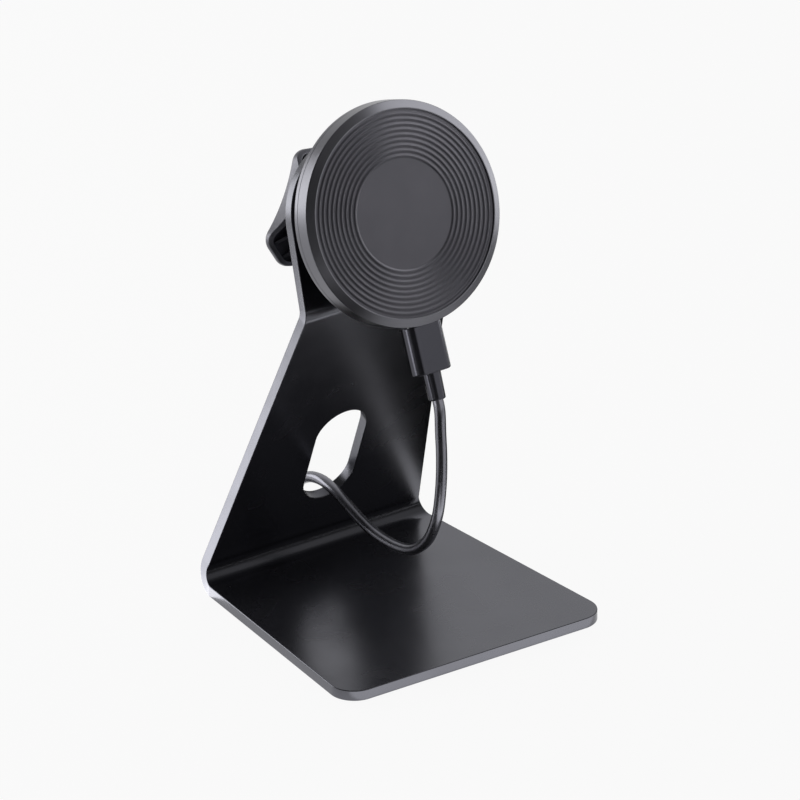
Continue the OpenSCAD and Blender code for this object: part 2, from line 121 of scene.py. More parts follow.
upright_up = Vector((0, -math.sin(LEAN), math.cos(LEAN)))
upright_out = Vector((0, -math.cos(LEAN), -math.sin(LEAN)))
head_up = Vector((0, math.sin(TILT), math.cos(TILT)))
head_out = Vector((0, -math.cos(TILT), math.sin(TILT)))
HEAD = frame_matrix(Vector(joints["knob_turn"]["pos_m"]), head_up, head_out)
print("axis of the head in mm:", [round(v / MM, 2) for v in HEAD.translation])

# %% [markdown]
# ## Small helpers for meshes
#
# Most pieces here come from one of two ideas: an outline that is turned about an axis, as on a lathe, or a stack of
# outlines that is skinned, as a moulded part is drawn. Both start from corners that are then rounded by arcs, so that
# an outline only holds the points that its shape needs.

# %% Mesh helpers
LATHE_STEPS = 144


def fillet(corners, radii, steps=5, closed=True):
    """An outline whose corners are replaced by arcs of the given radii. A radius of 0 keeps the corner."""
    points = []
    count = len(corners)
    for i, (corner, radius) in enumerate(zip(corners, radii)):
        corner = Vector(corner)
        if radius == 0 or (not closed and i in (0, count - 1)):
            points.append(corner)
            continue
        back = (Vector(corners[i - 1]) - corner).normalized()
        ahead = (Vector(corners[(i + 1) % count]) - corner).normalized()
        half = back.angle(ahead) / 2
        centre = corner + (back + ahead).normalized() * radius / math.sin(half)
        start = corner + back * radius / math.tan(half) - centre
        turn = start.angle_signed(corner + ahead * radius / math.tan(half) - centre)
        for k in range(steps + 1):
            spoke = start.copy()
            spoke.rotate(Matrix.Rotation(-turn * k / steps, 2))
            points.append(centre + spoke)
    return points


def link_mesh(bm, name, place=None):
    """Makes an object of a finished bmesh, with closed seams, outward faces and its place in its mesh."""
    bmesh.ops.remove_doubles(bm, verts=bm.verts, dist=1e-7)
    bmesh.ops.recalc_face_normals(bm, faces=bm.faces)
    if place is not None:
        bm.transform(place)
    mesh = bpy.data.meshes.new(name)
    bm.to_mesh(mesh)
    bm.free()
    piece = bpy.data.objects.new(name, mesh)
    bpy.context.collection.objects.link(piece)
    return piece


def turned(profile, steps=LATHE_STEPS):
    """A closed outline of (radius, height) points, turned about Z. Points on the axis become single poles."""
    bm = bmesh.new()
    rings = []
    for radius, height in profile:
        spots = [(radius * math.cos(a), radius * math.sin(a), height)
                 for a in (2 * math.pi * k / steps for k in range(steps))]
        rings.append([bm.verts.new(spot) for spot in spots])
    for one, other in zip(rings, rings[1:] + rings[:1]):
        for k in range(steps):
            bm.faces.new((one[k], one[(k + 1) % steps], other[(k + 1) % steps], other[k]))
    bmesh.ops.remove_doubles(bm, verts=bm.verts, dist=1e-8)
    bmesh.ops.dissolve_degenerate(bm, edges=bm.edges, dist=1e-8)
    return bm


def skinned(loops):
    """A stack of loops with equal numbers of points, skinned and closed at both ends."""
    bm = bmesh.new()
    rows = [[bm.verts.new(point) for point in loop] for loop in loops]
    for one, other in zip(rows, rows[1:]):
        for k in range(len(one)):
            bm.faces.new((one[k], one[(k + 1) % len(one)], other[(k + 1) % len(one)], other[k]))
    bm.faces.new(rows[0][::-1])
    bm.faces.new(rows[-1])
    return bm


def settle(piece):
    """Turns a piece with its modifiers into a plain mesh."""
    bpy.context.view_layer.update()
    shown = piece.evaluated_get(bpy.context.evaluated_depsgraph_get())
    mesh = bpy.data.meshes.new_from_object(shown)
    piece.modifiers.clear()
    piece.data = mesh
    return piece


def round_edges(piece, width, segments=3, angle=30):
    """Breaks the sharp edges of a piece, as a moulded or deburred part has them."""
    bevel = piece.modifiers.new("round edges", "BEVEL")
    bevel.width = width
    bevel.segments = segments
    bevel.limit_method = "ANGLE"
    bevel.angle_limit = math.radians(angle)
    return settle(piece)


def shade(piece, angle=30):
    """Smooth shading up to an angle between faces, with large faces kept flat beside narrow ones."""
    for polygon in piece.data.polygons:
        polygon.use_smooth = True
    piece.data.set_sharp_from_angle(angle=math.radians(angle))
    weighted = piece.modifiers.new("flat faces", "WEIGHTED_NORMAL")
    weighted.keep_sharp = True
    return settle(piece)


def cut(piece, cutter):
    """Takes a cutter out of a piece and removes the cutter."""
    boolean = piece.modifiers.new("cut", "BOOLEAN")
    boolean.operation = "DIFFERENCE"
    boolean.solver = "EXACT"
    boolean.object = cutter
    settle(piece)
    bpy.data.objects.remove(cutter)
    return piece


def dress(piece, body, slot, finish, *replaced):
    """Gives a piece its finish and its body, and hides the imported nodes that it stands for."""
    piece.data.materials.clear()
    piece.data.materials.append(finish)
    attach(piece, body)
    if replaced:
        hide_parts(*replaced)
    print(piece.name, "faces:", len(piece.data.polygons), "on", body)
    return piece


# %% [markdown]
# ## Small helpers for materials
#
# Every finish here is a Principled shader with three things on top of its colour: a fine texture that tilts the
# surface a little, a slower change of roughness as a hand or a spray gun leaves it, and a slight change of colour.
# Each pattern reads Object coordinates, which are metres, so a grain of a quarter of a millimetre has a scale of 4000.

# %% Material helpers
class Finish:
    """A Principled material whose nodes are added one by one."""

    def __init__(self, name, colour, roughness, metallic=0.0, specular=0.5):
        self.material = bpy.data.materials.new(name)
        self.material.use_nodes = True
        self.tree = self.material.node_tree
        self.shader = self.tree.nodes["Principled BSDF"]
        self.colour = (*colour, 1.0)
        self.roughness = roughness
        self.shader.inputs["Base Color"].default_value = self.colour
        self.shader.inputs["Roughness"].default_value = roughness
        self.shader.inputs["Metallic"].default_value = metallic
        self.shader.inputs["Specular IOR Level"].default_value = specular
        self.coordinates = self.tree.nodes.new("ShaderNodeTexCoord")
        self.height = None

    def link(self, start, end):
        self.tree.links.new(start, end)

    def noise(self, scale, detail=2.0, stretch=None):
        texture = self.tree.nodes.new("ShaderNodeTexNoise")
        texture.inputs["Scale"].default_value = scale
        texture.inputs["Detail"].default_value = detail
        start = self.coordinates.outputs["Object"]
        if stretch is not None:
            mapping = self.tree.nodes.new("ShaderNodeMapping")
            mapping.inputs["Scale"].default_value = stretch
            self.link(start, mapping.inputs["Vector"])
            start = mapping.outputs["Vector"]
        self.link(start, texture.inputs["Vector"])
        return texture.outputs["Fac"]

    def ranged(self, value, low, high, start=0.3, end=0.7):
        """A value spread over a new range."""
        node = self.tree.nodes.new("ShaderNodeMapRange")
        for name, number in (("From Min", start), ("From Max", end), ("To Min", low), ("To Max", high)):
            node.inputs[name].default_value = number
        self.link(value, node.inputs["Value"])
        return node.outputs["Result"]

    def vary_roughness(self, scale, amount, detail=2.0):
        spread = self.ranged(self.noise(scale, detail), self.roughness - amount, self.roughness + amount)
        self.link(spread, self.shader.inputs["Roughness"])
        return self

    def vary_colour(self, scale, amount, detail=2.0):
        mix = self.tree.nodes.new("ShaderNodeMix")
        mix.data_type = "RGBA"
        for socket, share in (("A", 1 - amount), ("B", 1 + amount)):
            colour = [min(1.0, channel * share) for channel in self.colour[:3]]
            mix.inputs[socket].default_value = (*colour, 1.0)
        self.link(self.ranged(self.noise(scale, detail), 0.0, 1.0), mix.inputs["Factor"])
        self.link(mix.outputs["Result"], self.shader.inputs["Base Color"])
        return self

    def bump(self, value, depth, strength=1.0):
        """Tilts the surface by a pattern whose full height is depth metres."""
        node = self.tree.nodes.new("ShaderNodeBump")
        node.inputs["Strength"].default_value = strength
        node.inputs["Distance"].default_value = depth
        self.link(value, node.inputs["Height"])
        if self.height is not None:
            self.link(self.height, node.inputs["Normal"])
        self.height = node.outputs["Normal"]
        self.link(self.height, self.shader.inputs["Normal"])
        return self


def plain(name, colour, roughness, metallic=0.0, grain=4000.0, depth=0.000004, specular=0.5):
    """A finish with a fine grain and a slow change of roughness."""
    finish = Finish(name, colour, roughness, metallic, specular)
    finish.vary_roughness(220.0, 0.04)
    return finish.bump(finish.noise(grain), depth)


# %% [markdown]
# ## The finishes
#
# The sheet is metal with a dark, satin coat: almost all of its light is a soft reflection, so it is black where it
# mirrors itself and pale where it mirrors the room. The head is a little paler and softer. The face is a firm rubber,
# the knob a textured moulding, and the cord a smooth skin.

# %% Finishes
def coated_sheet():
    finish = Finish("coated_sheet", (0.135, 0.136, 0.153), 0.26, metallic=1.0)
    finish.vary_roughness(90.0, 0.025).vary_colour(60.0, 0.03)
    return finish.bump(finish.noise(5200.0, 3.0), 0.0000016)


def housing_finish():
    finish = Finish("housing_finish", (0.15, 0.15, 0.167), 0.31, metallic=0.92)
    finish.vary_roughness(120.0, 0.03).vary_colour(80.0, 0.03)
    return finish.bump(finish.noise(6000.0, 3.0), 0.0000016)


def face_rubber():
    finish = Finish("face_rubber", (0.086, 0.084, 0.099), 0.42, metallic=0.6, specular=0.6)
    finish.vary_roughness(160.0, 0.03).vary_colour(90.0, 0.06)
    return finish.bump(finish.noise(9000.0, 2.0), 0.0000018)


def knob_plastic():
    finish = Finish("knob_plastic", (0.12, 0.12, 0.138), 0.36, metallic=0.7, specular=0.5)
    finish.vary_roughness(300.0, 0.04)
    return finish.bump(finish.noise(7000.0, 2.0), 0.000003)


def soft_pad():
    finish = Finish("soft_pad", (0.022, 0.022, 0.025), 0.72)
    finish.vary_roughness(400.0, 0.06).vary_colour(700.0, 0.15)
    finish.bump(finish.noise(2600.0, 4.0), 0.00002)
    return finish.bump(finish.noise(14000.0, 1.0), 0.000004)


def brushed_steel(name, colour=(0.62, 0.63, 0.65), roughness=0.28):
    finish = Finish(name, colour, roughness, metallic=1.0)
    finish.vary_roughness(500.0, 0.06)
    return finish.bump(finish.noise(3000.0, 2.0, stretch=(1.0, 1.0, 6.0)), 0.000001)


def cord_skin():
    finish = Finish("cord_skin", (0.21, 0.21, 0.237), 0.28, metallic=0.95)
    finish.vary_roughness(150.0, 0.03).vary_colour(400.0, 0.06)
    return finish.bump(finish.noise(2200.0, 2.0), 0.0000010)


def cord_plastic():
    finish = Finish("cord_plastic", (0.065, 0.065, 0.077), 0.21, metallic=0.95)
    finish.vary_roughness(250.0, 0.04)
    return finish.bump(finish.noise(8000.0, 2.0), 0.0000007)


def woven_tie():
    """A narrow woven band: two sets of threads that pass over each other, drawn on the band's own coordinates."""
    finish = Finish("woven_tie", (0.02, 0.02, 0.023), 0.85)
    heights = []
    for band, profile in (("X", "SIN"), ("Y", "SIN")):
        wave = finish.tree.nodes.new("ShaderNodeTexWave")
        wave.wave_type = "BANDS"
        wave.bands_direction = band
        wave.wave_profile = profile
        wave.inputs["Scale"].default_value = 0.55 / MM
        finish.link(finish.coordinates.outputs["UV"], wave.inputs["Vector"])
        heights.append(wave.outputs["Fac"])
    weave = finish.tree.nodes.new("ShaderNodeMath")
    weave.operation = "MAXIMUM"
    finish.link(heights[0], weave.inputs[0])
    finish.link(heights[1], weave.inputs[1])
    finish.vary_colour(900.0, 0.2)
    finish.bump(weave.outputs["Value"], 0.00012)
    return finish.material


def wound_copper():
    """The coil's turns: rings about the coil's axis, so the pattern is centred on the head by a Mapping node."""
    finish = Finish("wound_copper", (0.72, 0.36, 0.18), 0.3, metallic=1.0)
    mapping = finish.tree.nodes.new("ShaderNodeMapping")
    mapping.vector_type = "TEXTURE"
    mapping.inputs["Location"].default_value = HEAD.translation
    mapping.inputs["Rotation"].default_value = HEAD.to_euler()
    finish.link(finish.coordinates.outputs["Object"], mapping.inputs["Vector"])
    wave = finish.tree.nodes.new("ShaderNodeTexWave")
    wave.wave_type = "RINGS"
    wave.rings_direction = "Z"
    wave.inputs["Scale"].default_value = 0.45 / MM
    finish.link(mapping.outputs["Vector"], wave.inputs["Vector"])
    finish.bump(wave.outputs["Fac"], 0.0003)
    return finish.material


sheet_coat = coated_sheet().material
housing_coat = housing_finish().material
face_skin = face_rubber().material
knob_skin = knob_plastic().material
pad_skin = soft_pad().material
steel = brushed_steel("plated_steel").material
plug_metal = brushed_steel("plug_steel", (0.7, 0.71, 0.73), 0.22).material
cord_coat = cord_skin().material
plug_skin = cord_plastic().material
tie_weave = woven_tie()

# %% [markdown]
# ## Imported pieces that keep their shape
#
# The turned and stamped parts of the clamp and the parts inside the head have their true shape already, so their
# nodes stay and only get a finish.

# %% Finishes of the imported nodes
KEPT = {
    "clamp_collar": steel,
    "collar_washer": steel,
    "lock_nut": steel,
    "ball_stud": brushed_steel("polished_ball", (0.66, 0.67, 0.69), 0.16).material,
    "pressure_cup": plain("slide_plastic", (0.78, 0.78, 0.74), 0.45).material,
    "thrust_washer": steel,
    "knob_insert": brushed_steel("insert_brass", (0.72, 0.52, 0.22), 0.3).material,
    "head_hub": plain("hub_plastic", (0.05, 0.05, 0.056), 0.42, grain=7000.0).material,
    "hub_screws": steel,
    "charging_coil": wound_copper(),
    "ferrite_sheet": plain("ferrite", (0.045, 0.045, 0.048), 0.6, grain=2500.0, depth=0.00001).material,
    "magnet_ring": brushed_steel("plated_magnet", (0.6, 0.59, 0.56), 0.2).material,
    "magnet_backing": steel,
    "circuit_board": plain("board_green", (0.02, 0.12, 0.055), 0.35, grain=900.0, depth=0.00001).material,
    "control_chips": plain("chip_black", (0.018, 0.018, 0.02), 0.5, grain=6000.0).material,
    "board_capacitors": plain("capacitor_tan", (0.34, 0.22, 0.12), 0.45, grain=3000.0).material,
    "usb_socket": plug_metal,
    "socket_tongue": plain("tongue_black", (0.02, 0.02, 0.022), 0.45).material,
    "plug_shell": plug_metal,
    "far_plug_shell": plug_metal,
}
for node_name, material in KEPT.items():
    for material_slot in nodes[node_name].material_slots:
        material_slot.material = material
print("finished nodes:", len(KEPT))

# %% [markdown]
# ## Cord first
#
# A cord is a fixed length of something flexible. Its route is the one that the imported solids follow: out of the
# plug's sleeve, down, round in a loop, through the hole in the upright and down onto a small hank behind the fold.
# The hank is four turns, one above the other, and the last turn leaves it at the near end for the far plug. The turns
# are worked out by a loop, and the stretches outside the hank are listed points, joined by a smooth curve.

# %% Cord route
CORD_D = 3.0 * MM
ROUTE = [(0, -17.59, 71.17), (0, -18.3, 69.48), (0, -18.75, 66.9), (0, -18.95, 62.4), (0, -19.4, 56),
         (0, -19.4, 50), (0, -18.9, 44), (0, -17.9, 38.2), (0, -16.1, 33.1), (0, -13.5, 28.4),
         (0, -9.6, 24.4), (0, -4.8, 21.5), (0, 0.6, 20.1), (0, 6.4, 19.6), (0, 12.2, 19.9), (0, 18, 21.1),
         (0, 23.8, 22.8), (0, 29.4, 24.5), (0, 34.8, 25.2), (0.1, 40, 24.2), (0.5, 44.4, 21.9),
         (1.3, 48.4, 18.9), (2.8, 52, 16), (4.8, 55.4, 13.7), (7.1, 58.9, 12.2), (9.3, 62.2, 11.5),
         (11.4, 65.4, 11.15)]
TAIL = [(-6.2, 49.05, 2.1), (-2.5, 48.7, 2.1), (1, 48.9, 2.2), (4, 50.2, 2.6), (6.6, 51, 3.1), (8.92, 51, 3.1)]
HANK_NEAR = Vector((-7.03, 54.08)) * MM
HANK_ANGLE = math.radians(46.7)
HANK_RUN = 58 * MM
HANK_TURN_R = 5 * MM
HANK_LAYERS = 4
HANK_BOTTOM = 0.6 * MM
HANK_ENTRY = 24 * MM
CORD_STEP = 1.5 * MM


def smooth_curve(points, spacing=CORD_STEP):
    """Points about a spacing apart on the smooth curve through a list of points in millimetres."""
    points = [Vector(point) * MM for point in points]
    dense = []
    for i in range(len(points) - 1):
        a, b, c, d = (points[min(max(i + k, 0), len(points) - 1)] for k in (-1, 0, 1, 2))
        count = max(2, round((c - b).length / spacing))
        for k in range(count):
            f = k / count
            dense.append(b + f / 2 * ((c - a) + f * ((2 * a - 5 * b + 4 * c - d) + f * (3 * b - 3 * c + d - a))))
    return dense + [points[-1]]


def hank_place(across, along, height):
    """A point of the hank, from its place across and along the hank's length."""
    spot = Vector((across, along, height))
    spot.rotate(Matrix.Rotation(HANK_ANGLE - math.pi / 2, 3, "Z"))
    return spot + HANK_NEAR.to_3d()


def hank_point(travel):
    """A point of the cord in the hank, by the distance travelled from the near end of the first right-hand run."""
    arc = math.pi * HANK_TURN_R
    lap = 2 * (HANK_RUN + arc)
    turn, along = divmod(travel, lap)
    descent = max(0.0, (along - (lap - arc)) / (arc + HANK_ENTRY))
    if along < HANK_ENTRY and turn > 0:
        descent = (along + arc) / (arc + HANK_ENTRY) - 1
    level = HANK_BOTTOM + (HANK_LAYERS - 0.5 - turn - descent) * CORD_D
    if turn == HANK_LAYERS - 1:
        level = max(level, HANK_BOTTOM + CORD_D / 2)
    if along < HANK_RUN:
        return hank_place(HANK_TURN_R, along, level)
    if along < HANK_RUN + arc:
        angle = (along - HANK_RUN) / HANK_TURN_R
        return hank_place(HANK_TURN_R * math.cos(angle), HANK_RUN + HANK_TURN_R * math.sin(angle), level)
    if along < 2 * HANK_RUN + arc:
        return hank_place(-HANK_TURN_R, 2 * HANK_RUN + arc - along, level)
    angle = math.pi + (along - 2 * HANK_RUN - arc) / HANK_TURN_R
    return hank_place(HANK_TURN_R * math.cos(angle), HANK_TURN_R * math.sin(angle), level)


def cord_path():
    lap = 2 * (HANK_RUN + math.pi * HANK_TURN_R)
    leaving = HANK_LAYERS * lap - HANK_TURN_R * (math.pi / 2 - (math.pi / 2 - HANK_ANGLE))
    count = round((leaving - HANK_ENTRY) / CORD_STEP)
    hank = [hank_point(HANK_ENTRY + (leaving - HANK_ENTRY) * i / count) for i in range(1, count)]
    return smooth_curve(ROUTE) + hank + smooth_curve(TAIL)


cord_points = cord_path()

# %% [markdown]
# ## The cord's mesh
#
# The near stretch of the real cord bends when the head tilts. Here the whole cord is one mesh tube, tied to no body: a
# ring of points about each point of the route. A frame that is carried along the route keeps the rings from twisting.
# The tube has its own UV map, which runs along the cord in metres.

# %% Cord mesh
CORD_SIDES = 20


def tube(points, radius, sides):
    """A closed tube about a list of points, with a UV map in metres."""
    bm = bmesh.new()
    uv = bm.loops.layers.uv.new("UVMap")
    side = Vector((1, 0, 0))
    rings, travelled = [], [0.0]
    for i, point in enumerate(points):
        ahead = (points[min(i + 1, len(points) - 1)] - points[max(i - 1, 0)]).normalized()
        side = (side - side.dot(ahead) * ahead).normalized()
        up = ahead.cross(side)
        rings.append([bm.verts.new(point + radius * (math.cos(a) * side + math.sin(a) * up))
                      for a in (2 * math.pi * k / sides for k in range(sides))])
        if i:
            travelled.append(travelled[-1] + (point - points[i - 1]).length)
    for i, (one, other) in enumerate(zip(rings, rings[1:])):
        for k in range(sides):
            face = bm.faces.new((one[k], one[(k + 1) % sides], other[(k + 1) % sides], other[k]))
            around = 2 * math.pi * radius / sides
            for loop, (u, v) in zip(face.loops, ((k, i), (k + 1, i), (k + 1, i + 1), (k, i + 1))):
                loop[uv].uv = (u * around, travelled[v])
    bm.faces.new(rings[0][::-1])
    bm.faces.new(rings[-1])
    return bm


cord = shade(link_mesh(tube(cord_points, CORD_D / 2, CORD_SIDES), "cord"), 50)
cord.data.materials.append(cord_coat)
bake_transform(cord)
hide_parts("cord_tube", "cord_hank", "cord_tail")
print("cord faces:", len(cord.data.polygons))

# %% [markdown]
# ## The plugs
#
# Each end of the cord has the same moulded plug: a grip with rounded sides, a short sleeve, and a metal shell that is
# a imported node. The grip is a stack of rounded rectangles. It draws in a little at its cord end, which gives the soft
# edge that a mould leaves, and its nose stays square, because it closes against the head. The sleeve is turned.

# %% Plugs
GRIP_W = 11.5 * MM
GRIP_T = 6.2 * MM
GRIP_LENGTH = 12.6 * MM
GRIP_CORNER_R = 3.0 * MM
SLEEVE_D = 5.0 * MM
SLEEVE_LENGTH = 7.5 * MM
GRIP_FACE_U = -30.4 * MM
SOCKET_N = 20.5 * MM
FAR_SLEEVE = Vector((9.0, 51.0, 3.1)) * MM


def rounded_rectangle(width, height, radius, inset=0.0, steps=10):
    """A rectangle with round corners about the origin, drawn in by an inset."""
    w, h = width / 2 - inset, height / 2 - inset
    corners = [(w, h), (-w, h), (-w, -h), (w, -h)]
    return fillet(corners, [max(radius - inset, 0.0002)] * 4, steps)


def edge_rounding(radius, start, end, steps=5):
    """(inset, height) pairs of a wall from start to end whose two rims are rounded."""
    arc = [(radius * (1 - math.sin(a)), radius * (1 - math.cos(a)))
           for a in (math.pi / 2 * k / steps for k in range(steps + 1))]
    rise = math.copysign(1, end - start)
    lower = [(inset, start + rise * h) for inset, h in arc]
    upper = [(inset, end - rise * h) for inset, h in reversed(arc)]
    return lower + upper


def plug_grip(name, place):
    nose, edge = 0.45 * MM, 0.5 * MM
    rear_rim = [(inset, z) for inset, z in edge_rounding(edge, 0.0, GRIP_LENGTH) if z > GRIP_LENGTH / 2]
    front_rim = [(0.15 * MM, -nose), (0.04 * MM, 0.04 * MM - nose), (0.0, 0.15 * MM - nose)]
    loops = [[(p.x, p.y, z) for p in rounded_rectangle(GRIP_W, GRIP_T, GRIP_CORNER_R, inset)]
             for inset, z in front_rim + rear_rim]
    return shade(link_mesh(skinned(loops), name, place), 40)


def plug_sleeve(name, place):
    r, end = SLEEVE_D / 2, GRIP_LENGTH + SLEEVE_LENGTH
    start = GRIP_LENGTH - 0.3 * MM
    profile = fillet([(0, start), (r, start), (r - 0.2 * MM, end), (CORD_D / 2, end), (0, end)],
                     [0, 0, 0.5 * MM, 0, 0])
    return shade(link_mesh(turned(profile, 64), name, place), 40)


NEAR_PLUG = HEAD @ Matrix.Translation((0, GRIP_FACE_U, SOCKET_N)) @ Matrix.Rotation(math.pi / 2, 4, "X")
FAR_PLUG = (Matrix.Translation(FAR_SLEEVE + Vector((SLEEVE_LENGTH + GRIP_LENGTH, 0, 0)))
            @ Matrix.Rotation(-math.pi / 2, 4, "Y") @ Matrix.Rotation(math.pi / 2, 4, "Z"))
near_grip = dress(plug_grip("plug_grip", NEAR_PLUG), "head", "cord_plastic", plug_skin, "plug_overmould")
near_sleeve = dress(plug_sleeve("plug_sleeve", NEAR_PLUG), "head", "cord_plastic", plug_skin, "cord_sleeve")
far_grip = dress(plug_grip("far_grip", FAR_PLUG), "root", "cord_plastic", plug_skin, "far_overmould")
far_sleeve = dress(plug_sleeve("far_sleeve_skin", FAR_PLUG), "root", "cord_plastic", plug_skin, "far_sleeve")

# %% [markdown]
# ## The tie round the hank
#
# A short woven band holds the four turns together. It is a strip with a round section at the edges that follows the
# outline of the hank's cross-section, so its path is that outline pushed out by half the band's thickness.

# %% Hank tie
TIE_W = 9.0 * MM
TIE_T = 0.55 * MM
TIE_ROWS = 7


def hank_tie():
    half_w, half_h = HANK_TURN_R + CORD_D / 2 + TIE_T / 2, HANK_LAYERS * CORD_D / 2 + TIE_T / 2
    outline = rounded_rectangle(2 * half_w, 2 * half_h, CORD_D / 2 + TIE_T / 2, steps=8)
    middle = HANK_BOTTOM + HANK_LAYERS * CORD_D / 2
    bm = bmesh.new()
    uv = bm.loops.layers.uv.new("UVMap")
    rows = []
    for r in range(TIE_ROWS):
        along = HANK_RUN / 2 + TIE_W * (r / (TIE_ROWS - 1) - 0.5)
        rows.append([bm.verts.new(hank_place(p.x, along, middle + p.y)) for p in outline])
    around = [0.0]
    for a, b in zip(outline, outline[1:] + outline[:1]):
        around.append(around[-1] + (b - a).length)
    for r in range(TIE_ROWS - 1):
        for k in range(len(outline)):
            n = (k + 1) % len(outline)
            face = bm.faces.new((rows[r][k], rows[r][n], rows[r + 1][n], rows[r + 1][k]))
            for loop, (u, v) in zip(face.loops, ((k, r), (k + 1, r), (k + 1, r + 1), (k, r + 1))):
                loop[uv].uv = (around[u], v * TIE_W / (TIE_ROWS - 1))
    bmesh.ops.recalc_face_normals(bm, faces=bm.faces)
    piece = link_mesh(bm, "hank_band")
    wall = piece.modifiers.new("thickness", "SOLIDIFY")
    wall.thickness = TIE_T
    wall.offset = 0.0
    wall.use_rim = True
    return shade(round_edges(piece, 0.2 * MM, 2, 60), 40)


tie = dress(hank_tie(), "root", "tie_fabric", tie_weave, "cord_tie")

# %% [markdown]
# ## The sheet, cut flat
#
# The real part is cut from a flat sheet and then folded, and the mesh is made the same way. The outline is drawn as
# the blank, with the cable hole and the hole for the clamp, and filled. Cuts across the two bends give the mesh
# something to bend by. Lengths along the blank are measured in the middle of the sheet, where metal neither
# stretches nor shrinks.

# %% Blank
FOLD_R = 6.4 * MM
BEND_R = 3.0 * MM
BASE_DEPTH = 81.1 * MM
BASE_FRONT_W = 85.1 * MM
FOLD_W = 70.2 * MM
BEND_W = 45.9 * MM
CORNER_R = 7.0 * MM
PLATE_R = 21.2 * MM
AXIS_HEIGHT = 21.2 * MM
PLATE_TAPER = 0.079
HOLE_W = 16.0 * MM
HOLE_LENGTH = 31.6 * MM
HOLE_MIDDLE = 37.7 * MM
CLAMP_HOLE_R = 8.6 * MM

fold_turn = math.pi / 2 + LEAN
bend_turn = LEAN + TILT
fold_tangent = FOLD_R * math.tan(fold_turn / 2)
bend_tangent = BEND_R * math.tan(bend_turn / 2)
base_taper = (BASE_FRONT_W - FOLD_W) / 2 / BASE_DEPTH
upright_taper = (FOLD_W - BEND_W) / 2 / UPRIGHT_LENGTH
fold_start = BASE_DEPTH - fold_tangent
fold_end = fold_start + (FOLD_R - SHEET / 2) * fold_turn
bend_start = fold_end + UPRIGHT_LENGTH - fold_tangent - bend_tangent
bend_end = bend_start + (BEND_R + SHEET / 2) * bend_turn
axis_station = bend_end + AXIS_HEIGHT - bend_tangent
hole_station = fold_end + HOLE_MIDDLE - fold_tangent


def blank_outline():
    """Half of the blank's outline, from the middle of the front edge to the middle of the round top."""
    low_x, low_u = BEND_W / 2 - bend_tangent * PLATE_TAPER, bend_tangent - AXIS_HEIGHT
    reach = math.hypot(low_x, low_u)
    touch = math.acos(PLATE_R / reach) - math.atan2(-low_u, low_x)
    side = [(0, 0), (BASE_FRONT_W / 2, 0), (FOLD_W / 2 + fold_tangent * base_taper, fold_start),
            (FOLD_W / 2 - fold_tangent * upright_taper, fold_end),
            (BEND_W / 2 + bend_tangent * upright_taper, bend_start), (low_x, bend_end)]
    side = fillet(side, [0, CORNER_R, 0, 0, 0, 0], 20, closed=False)
    top_steps = 40
    angles = [touch + (math.pi / 2 - touch) * k / top_steps for k in range(top_steps + 1)]
    top = [Vector((PLATE_R * math.cos(a), axis_station + PLATE_R * math.sin(a))) for a in angles]
    return [Vector(p) for p in side] + top


def circle_points(x, y, radius, start, sweep, steps):
    return [Vector((x + radius * math.cos(a), y + radius * math.sin(a)))
            for a in (start + sweep * k / steps for k in range(steps + 1))]


def blank_holes():
    half_run = (HOLE_LENGTH - HOLE_W) / 2
    cable_hole = (circle_points(0, hole_station + half_run, HOLE_W / 2, 0, math.pi, 28)
                  + circle_points(0, hole_station - half_run, HOLE_W / 2, math.pi, math.pi, 28))
    return [cable_hole, circle_points(0, axis_station, CLAMP_HOLE_R, 0, 2 * math.pi, 64)[:-1]]


def flat_blank():
    half = blank_outline()
    outline = half + [Vector((-p.x, p.y)) for p in reversed(half[1:-1])]
    bm = bmesh.new()
    edges = []
    for loop in [outline] + blank_holes():
        verts = [bm.verts.new((p.x, p.y, 0)) for p in loop]
        edges += [bm.edges.new((a, b)) for a, b in zip(verts, verts[1:] + verts[:1])]
    bmesh.ops.triangle_fill(bm, use_beauty=True, use_dissolve=False, edges=edges)
    bmesh.ops.dissolve_limit(bm, angle_limit=0.01, verts=bm.verts, edges=bm.edges, delimit={"NORMAL"})
    return bm


blank = flat_blank()
print("blank length in mm:", round((axis_station + PLATE_R) / MM, 1), "faces:", len(blank.faces))

# %% [markdown]
# ## The sheet, folded
#
# Solidify gives the blank its three millimetres, and a small bevel breaks its edges, as deburring does before
# coating. Only then is it folded: a function takes each point of the thick blank, by its distance along the blank
# and its height in the thickness, to its place on the base, on a bend, on the upright or on the head plate.

# %% Folding
FOLD_CUTS = 18
BEND_CUTS = 10
EDGE_BREAK = 0.22 * MM


def bisect(bm, station):
    geometry = bm.verts[:] + bm.edges[:] + bm.faces[:]
    bmesh.ops.bisect_plane(bm, geom=geometry, plane_co=(0, station, 0), plane_no=(0, 1, 0), dist=1e-7)


def along_bend(centre, spoke, ahead, angle, radius):
    """A point at an angle round a bend, from its centre, the spoke to its start and the direction ahead there."""
    return centre + radius * (math.cos(angle) * spoke + math.sin(angle) * ahead)


